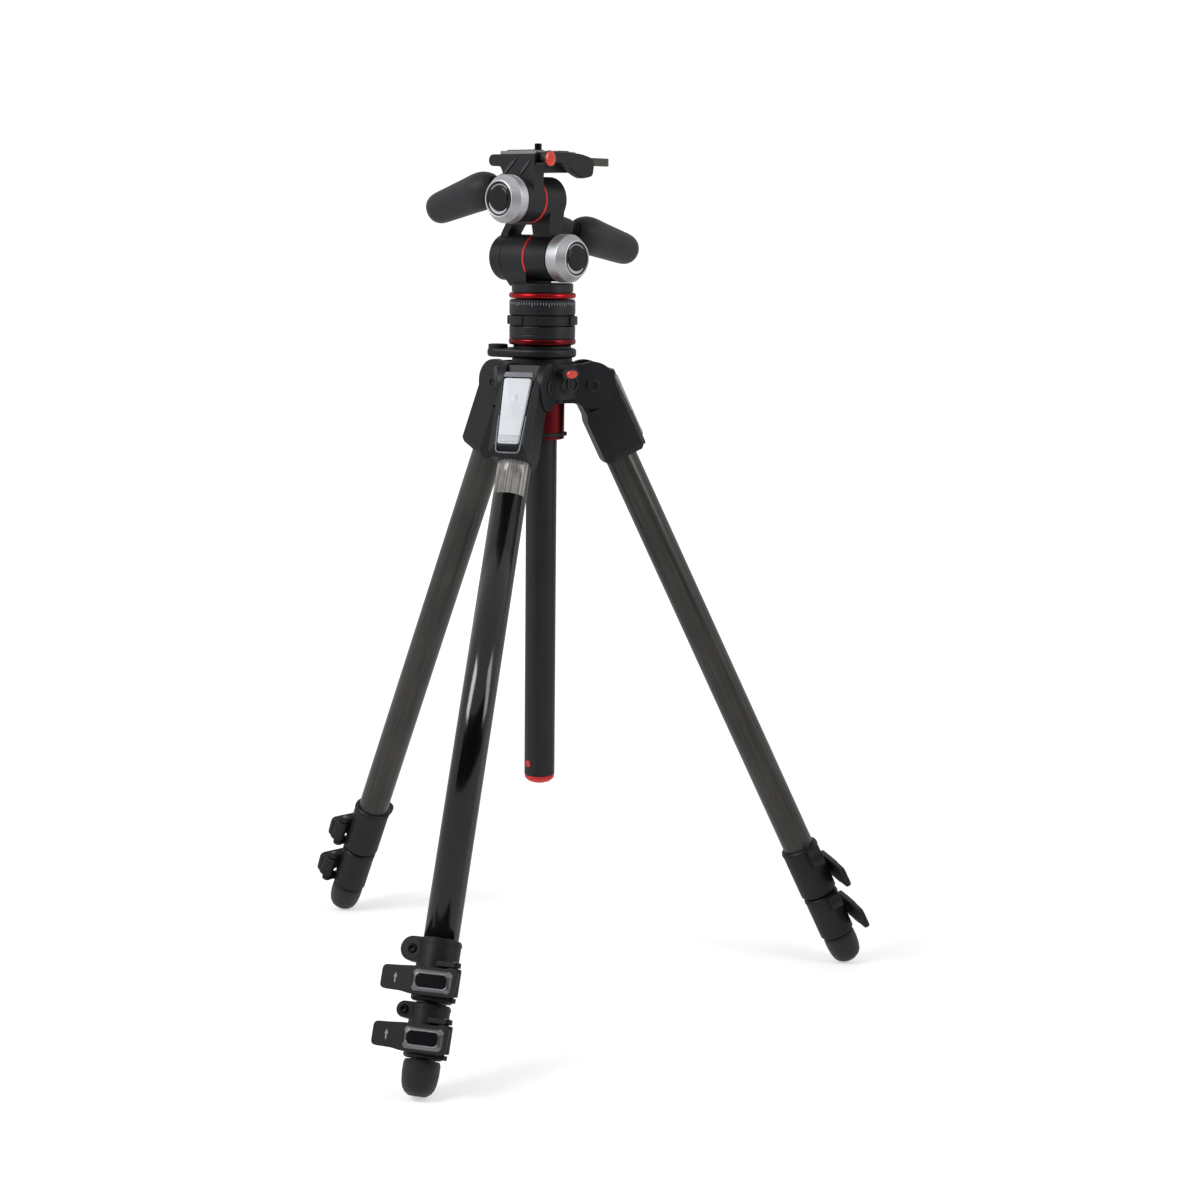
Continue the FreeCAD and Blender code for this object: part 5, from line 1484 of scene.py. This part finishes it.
        # The ribs are drawn grey as a painted highlight along their edges; the casting itself is
        # black.
        for name, path in (
            ("left", [(-19.0, 743.0), (-15.0, 747.0), (-8.0, 753.5), (-2.0, 758.6)]),
            ("right", [(2.0, 744.0), (5.0, 747.5), (9.5, 752.4), (14.0, 757.0)]),
        ):
            deck.strip(
                f"deck_rib_painted_highlight_{name}", path, [0.8, 2.2, 2.4, 0.7], -0.6, 1.1, EDGE_HIGHLIGHT_GREY, bevel=0.45)
        plate = Maker("camera_plate_body", self.layout.head).at(
            (self.plate_u, self.plate_v, self.plate_top), (0, 0, 1), (0, 1, 0))
        for side, name in ((-1, "rear"), (1, "front")):
            pad = Maker(plate.body, plate.frame @ Matrix.Translation((side * 16.6 * MM, 0, 0)))
            pad.slab(
                f"camera_pad_{name}", rectangle(14.0, 36.0, 2.0), -0.3, 0.55, PAD_RUBBER,
                soft=1.0, bevel=0.2)
            for k in range(7):
                step = Matrix.Translation((0, (k - 3) * 4.8 * MM, 0))
                Maker(pad.body, pad.frame @ step).slab(
                    f"camera_pad_{name}_rib_{k}", rectangle(12.4, 1.5), 0.5, 0.95, PAD_RUBBER,
                    soft=0.3, bevel=0.15)


# ------------------------------------------------------------------ studio


@dataclass
class Studio:
    """Camera, white surround, floor, backdrop, dark card and soft lights.

    Attributes:
        layout: Frames of the sub-assemblies.
        camera_offset: The camera's place from the column's foot, in metres.
        heading: How far the camera turns left of +Y, degrees.
        pitch: How far it looks down.
        roll: How far it leans.
        lens: Focal length in millimetres, on a sensor 36 mm wide.
        surround: Strength of the surround.
        floor_r: Radius of the floor, in metres.
        dome_r: Radius of the backdrop.
        dome_glow: Strength of the backdrop.
    """

    layout: Layout
    camera_offset: tuple[float, float, float] = (0.6404, -1.9186, 0.6996)
    heading: float = 16.92
    pitch: float = 9.429
    roll: float = 0.625
    lens: float = 67.35
    surround: float = 0.46
    floor_r: float = 9.0
    dome_r: float = 8.8
    dome_glow: float = 1.05

    def build(self) -> None:
        """Set the studio up."""
        view = bpy.context.scene.view_settings
        view.view_transform = "Standard"
        view.look = "None"
        self.camera()
        self.world()
        self.floor()
        self.backdrop()
        self.card()
        self.lights()

    def camera(self) -> None:
        """A camera a little above the head's height, looking slightly down."""
        data = bpy.data.cameras.new("camera")
        data.lens = self.lens
        data.sensor_width = 36.0
        camera = bpy.data.objects.new("camera", data)
        bpy.context.scene.collection.objects.link(camera)
        turn, dip, lean = (math.radians(v) for v in (self.heading, self.pitch, self.roll))
        ahead = Vector((
            -math.sin(turn) * math.cos(dip), math.cos(turn) * math.cos(dip), -math.sin(dip)))
        right = Vector((math.cos(turn), math.sin(turn), 0))
        up = right.cross(ahead)
        x_axis = right * math.cos(lean) + up * math.sin(lean)
        y_axis = up * math.cos(lean) - right * math.sin(lean)
        spin = Matrix((x_axis, y_axis, -ahead)).transposed().to_4x4()
        place = self.layout.column.translation + Vector(self.camera_offset)
        camera.matrix_world = Matrix.Translation(place) @ spin
        bpy.context.scene.camera = camera

    def world(self) -> None:
        """An even white surround."""
        world = bpy.data.worlds.new("white_surround")
        bpy.context.scene.world = world
        world.use_nodes = True
        tree = world.node_tree
        tree.nodes.clear()
        light = add_node(
            tree, "Background", sockets={0: linear("#fefefe"), 1: self.surround}).outputs[0]
        add_node(tree, "OutputWorld", sockets={0: light})

    def floor(self) -> None:
        """A pale matt floor, far larger than the object, with a painted glow that rises towards its
        rim.
        """
        mesh = bmesh.new()
        bmesh.ops.create_circle(mesh, cap_ends=True, radius=self.floor_r, segments=96)
        data = bpy.data.meshes.new("floor")
        mesh.to_mesh(data)
        mesh.free()
        floor = bpy.data.objects.new("floor", data)
        bpy.context.scene.collection.objects.link(floor)
        paper = bpy.data.materials.new("white_paper_with_painted_glow")
        paper.use_nodes = True
        tree = paper.node_tree
        tree.nodes.clear()
        place = add_node(tree, "TexCoord").outputs["Object"]
        reach = add_node(tree, "VectorMath", {"operation": "LENGTH"}, {0: place}).outputs["Value"]
        # Painted light: the floor glows by itself, more strongly away from the column.
        glow = add_node(
            tree, "MapRange", {"interpolation_type": "SMOOTHSTEP"},
            {"Value": reach, "From Min": 0.7, "From Max": 2.6, "To Min": 0.5, "To Max": 0.8},
        ).outputs[0]
        sockets = {
            "Base Color": linear("#f2f2f2"), "Roughness": 0.9, "Specular IOR Level": 0.0,
            "Emission Color": linear("#ffffff"), "Emission Strength": glow,
        }
        shader = add_node(tree, "BsdfPrincipled", sockets=sockets).outputs[0]
        add_node(tree, "OutputMaterial", sockets={0: shader})
        data.materials.append(paper)
        floor.visible_glossy = False

    def backdrop(self) -> None:
        """A white dome round everything that lights nothing and shows in no reflection."""
        mesh = bmesh.new()
        bmesh.ops.create_uvsphere(mesh, u_segments=64, v_segments=32, radius=self.dome_r)
        data = bpy.data.meshes.new("backdrop")
        mesh.to_mesh(data)
        mesh.free()
        dome = bpy.data.objects.new("backdrop", data)
        bpy.context.scene.collection.objects.link(dome)
        for ray in ("diffuse", "glossy", "transmission", "volume_scatter", "shadow"):
            setattr(dome, f"visible_{ray}", False)
        paint = bpy.data.materials.new("lit_white_paint")
        paint.use_nodes = True
        tree = paint.node_tree
        tree.nodes.clear()
        glow = add_node(
            tree, "Emission", sockets={0: linear("#ffffff"), 1: self.dome_glow}).outputs[0]
        add_node(tree, "OutputMaterial", sockets={0: glow})
        data.materials.append(paint)

    def card(self) -> None:
        """A tall dark card on the camera's side, seen only in reflections."""
        mesh = bmesh.new()
        radius, low, top = 3.2, 0.05, 2.3
        angles = [math.radians(a) for a in range(-40, 90, 5)]
        rows = [[
            mesh.verts.new((radius * math.sin(a), -radius * math.cos(a), z)) for a in angles
        ] for z in (low, top)]
        for k in range(len(angles) - 1):
            mesh.faces.new((rows[0][k], rows[0][k + 1], rows[1][k + 1], rows[1][k]))
        data = bpy.data.meshes.new("dark_card")
        mesh.to_mesh(data)
        mesh.free()
        card = bpy.data.objects.new("dark_card", data)
        bpy.context.scene.collection.objects.link(card)
        card.matrix_world = self.layout.column.copy()
        card.visible_camera = False
        card.visible_shadow = False
        felt = bpy.data.materials.new("black_felt")
        felt.use_nodes = True
        tree = felt.node_tree
        tree.nodes.clear()
        sockets = {"Base Color": linear("#0c0c0c"), "Roughness": 1.0, "Specular IOR Level": 0.0}
        shader = add_node(tree, "BsdfPrincipled", sockets=sockets).outputs[0]
        add_node(tree, "OutputMaterial", sockets={0: shader})
        data.materials.append(felt)

    def lights(self) -> None:
        """Two soft boxes: a key high on the left and a fill on the right."""
        target = self.layout.column.translation + Vector((0, 0, 0.55))
        for name, place, width, height, power in (
            ("key_soft_box", (-1.3, -1.5, 1.9), 0.9, 1.2, 26.0),
            ("fill_soft_box", (1.9, -0.3, 1.3), 0.7, 1.2, 10.0),
        ):
            data = bpy.data.lights.new(name, "AREA")
            data.shape = "RECTANGLE"
            data.size, data.size_y = width, height
            data.energy = power
            light = bpy.data.objects.new(name, data)
            bpy.context.scene.collection.objects.link(light)
            spot = self.layout.column.translation + Vector(place)
            light.matrix_world = (
                Matrix.Translation(spot)
                @ (target - spot).to_track_quat("-Z", "Y").to_matrix().to_4x4()
            )
            light.visible_camera = False


def main() -> None:
    """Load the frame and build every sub-assembly."""
    logging.basicConfig(level=logging.INFO, format="%(name)s: %(message)s")
    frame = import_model()
    layout = Layout.read(frame)
    nodes = frame["nodes"]
    Studio(layout).build()
    for letter in LETTERS:
        Leg(letter, layout.legs[letter]).build(nodes)
    Hub(layout).build(nodes)
    Head(layout).build(nodes)
    bpy.context.view_layer.update()


if __name__ == "__main__":
    main()
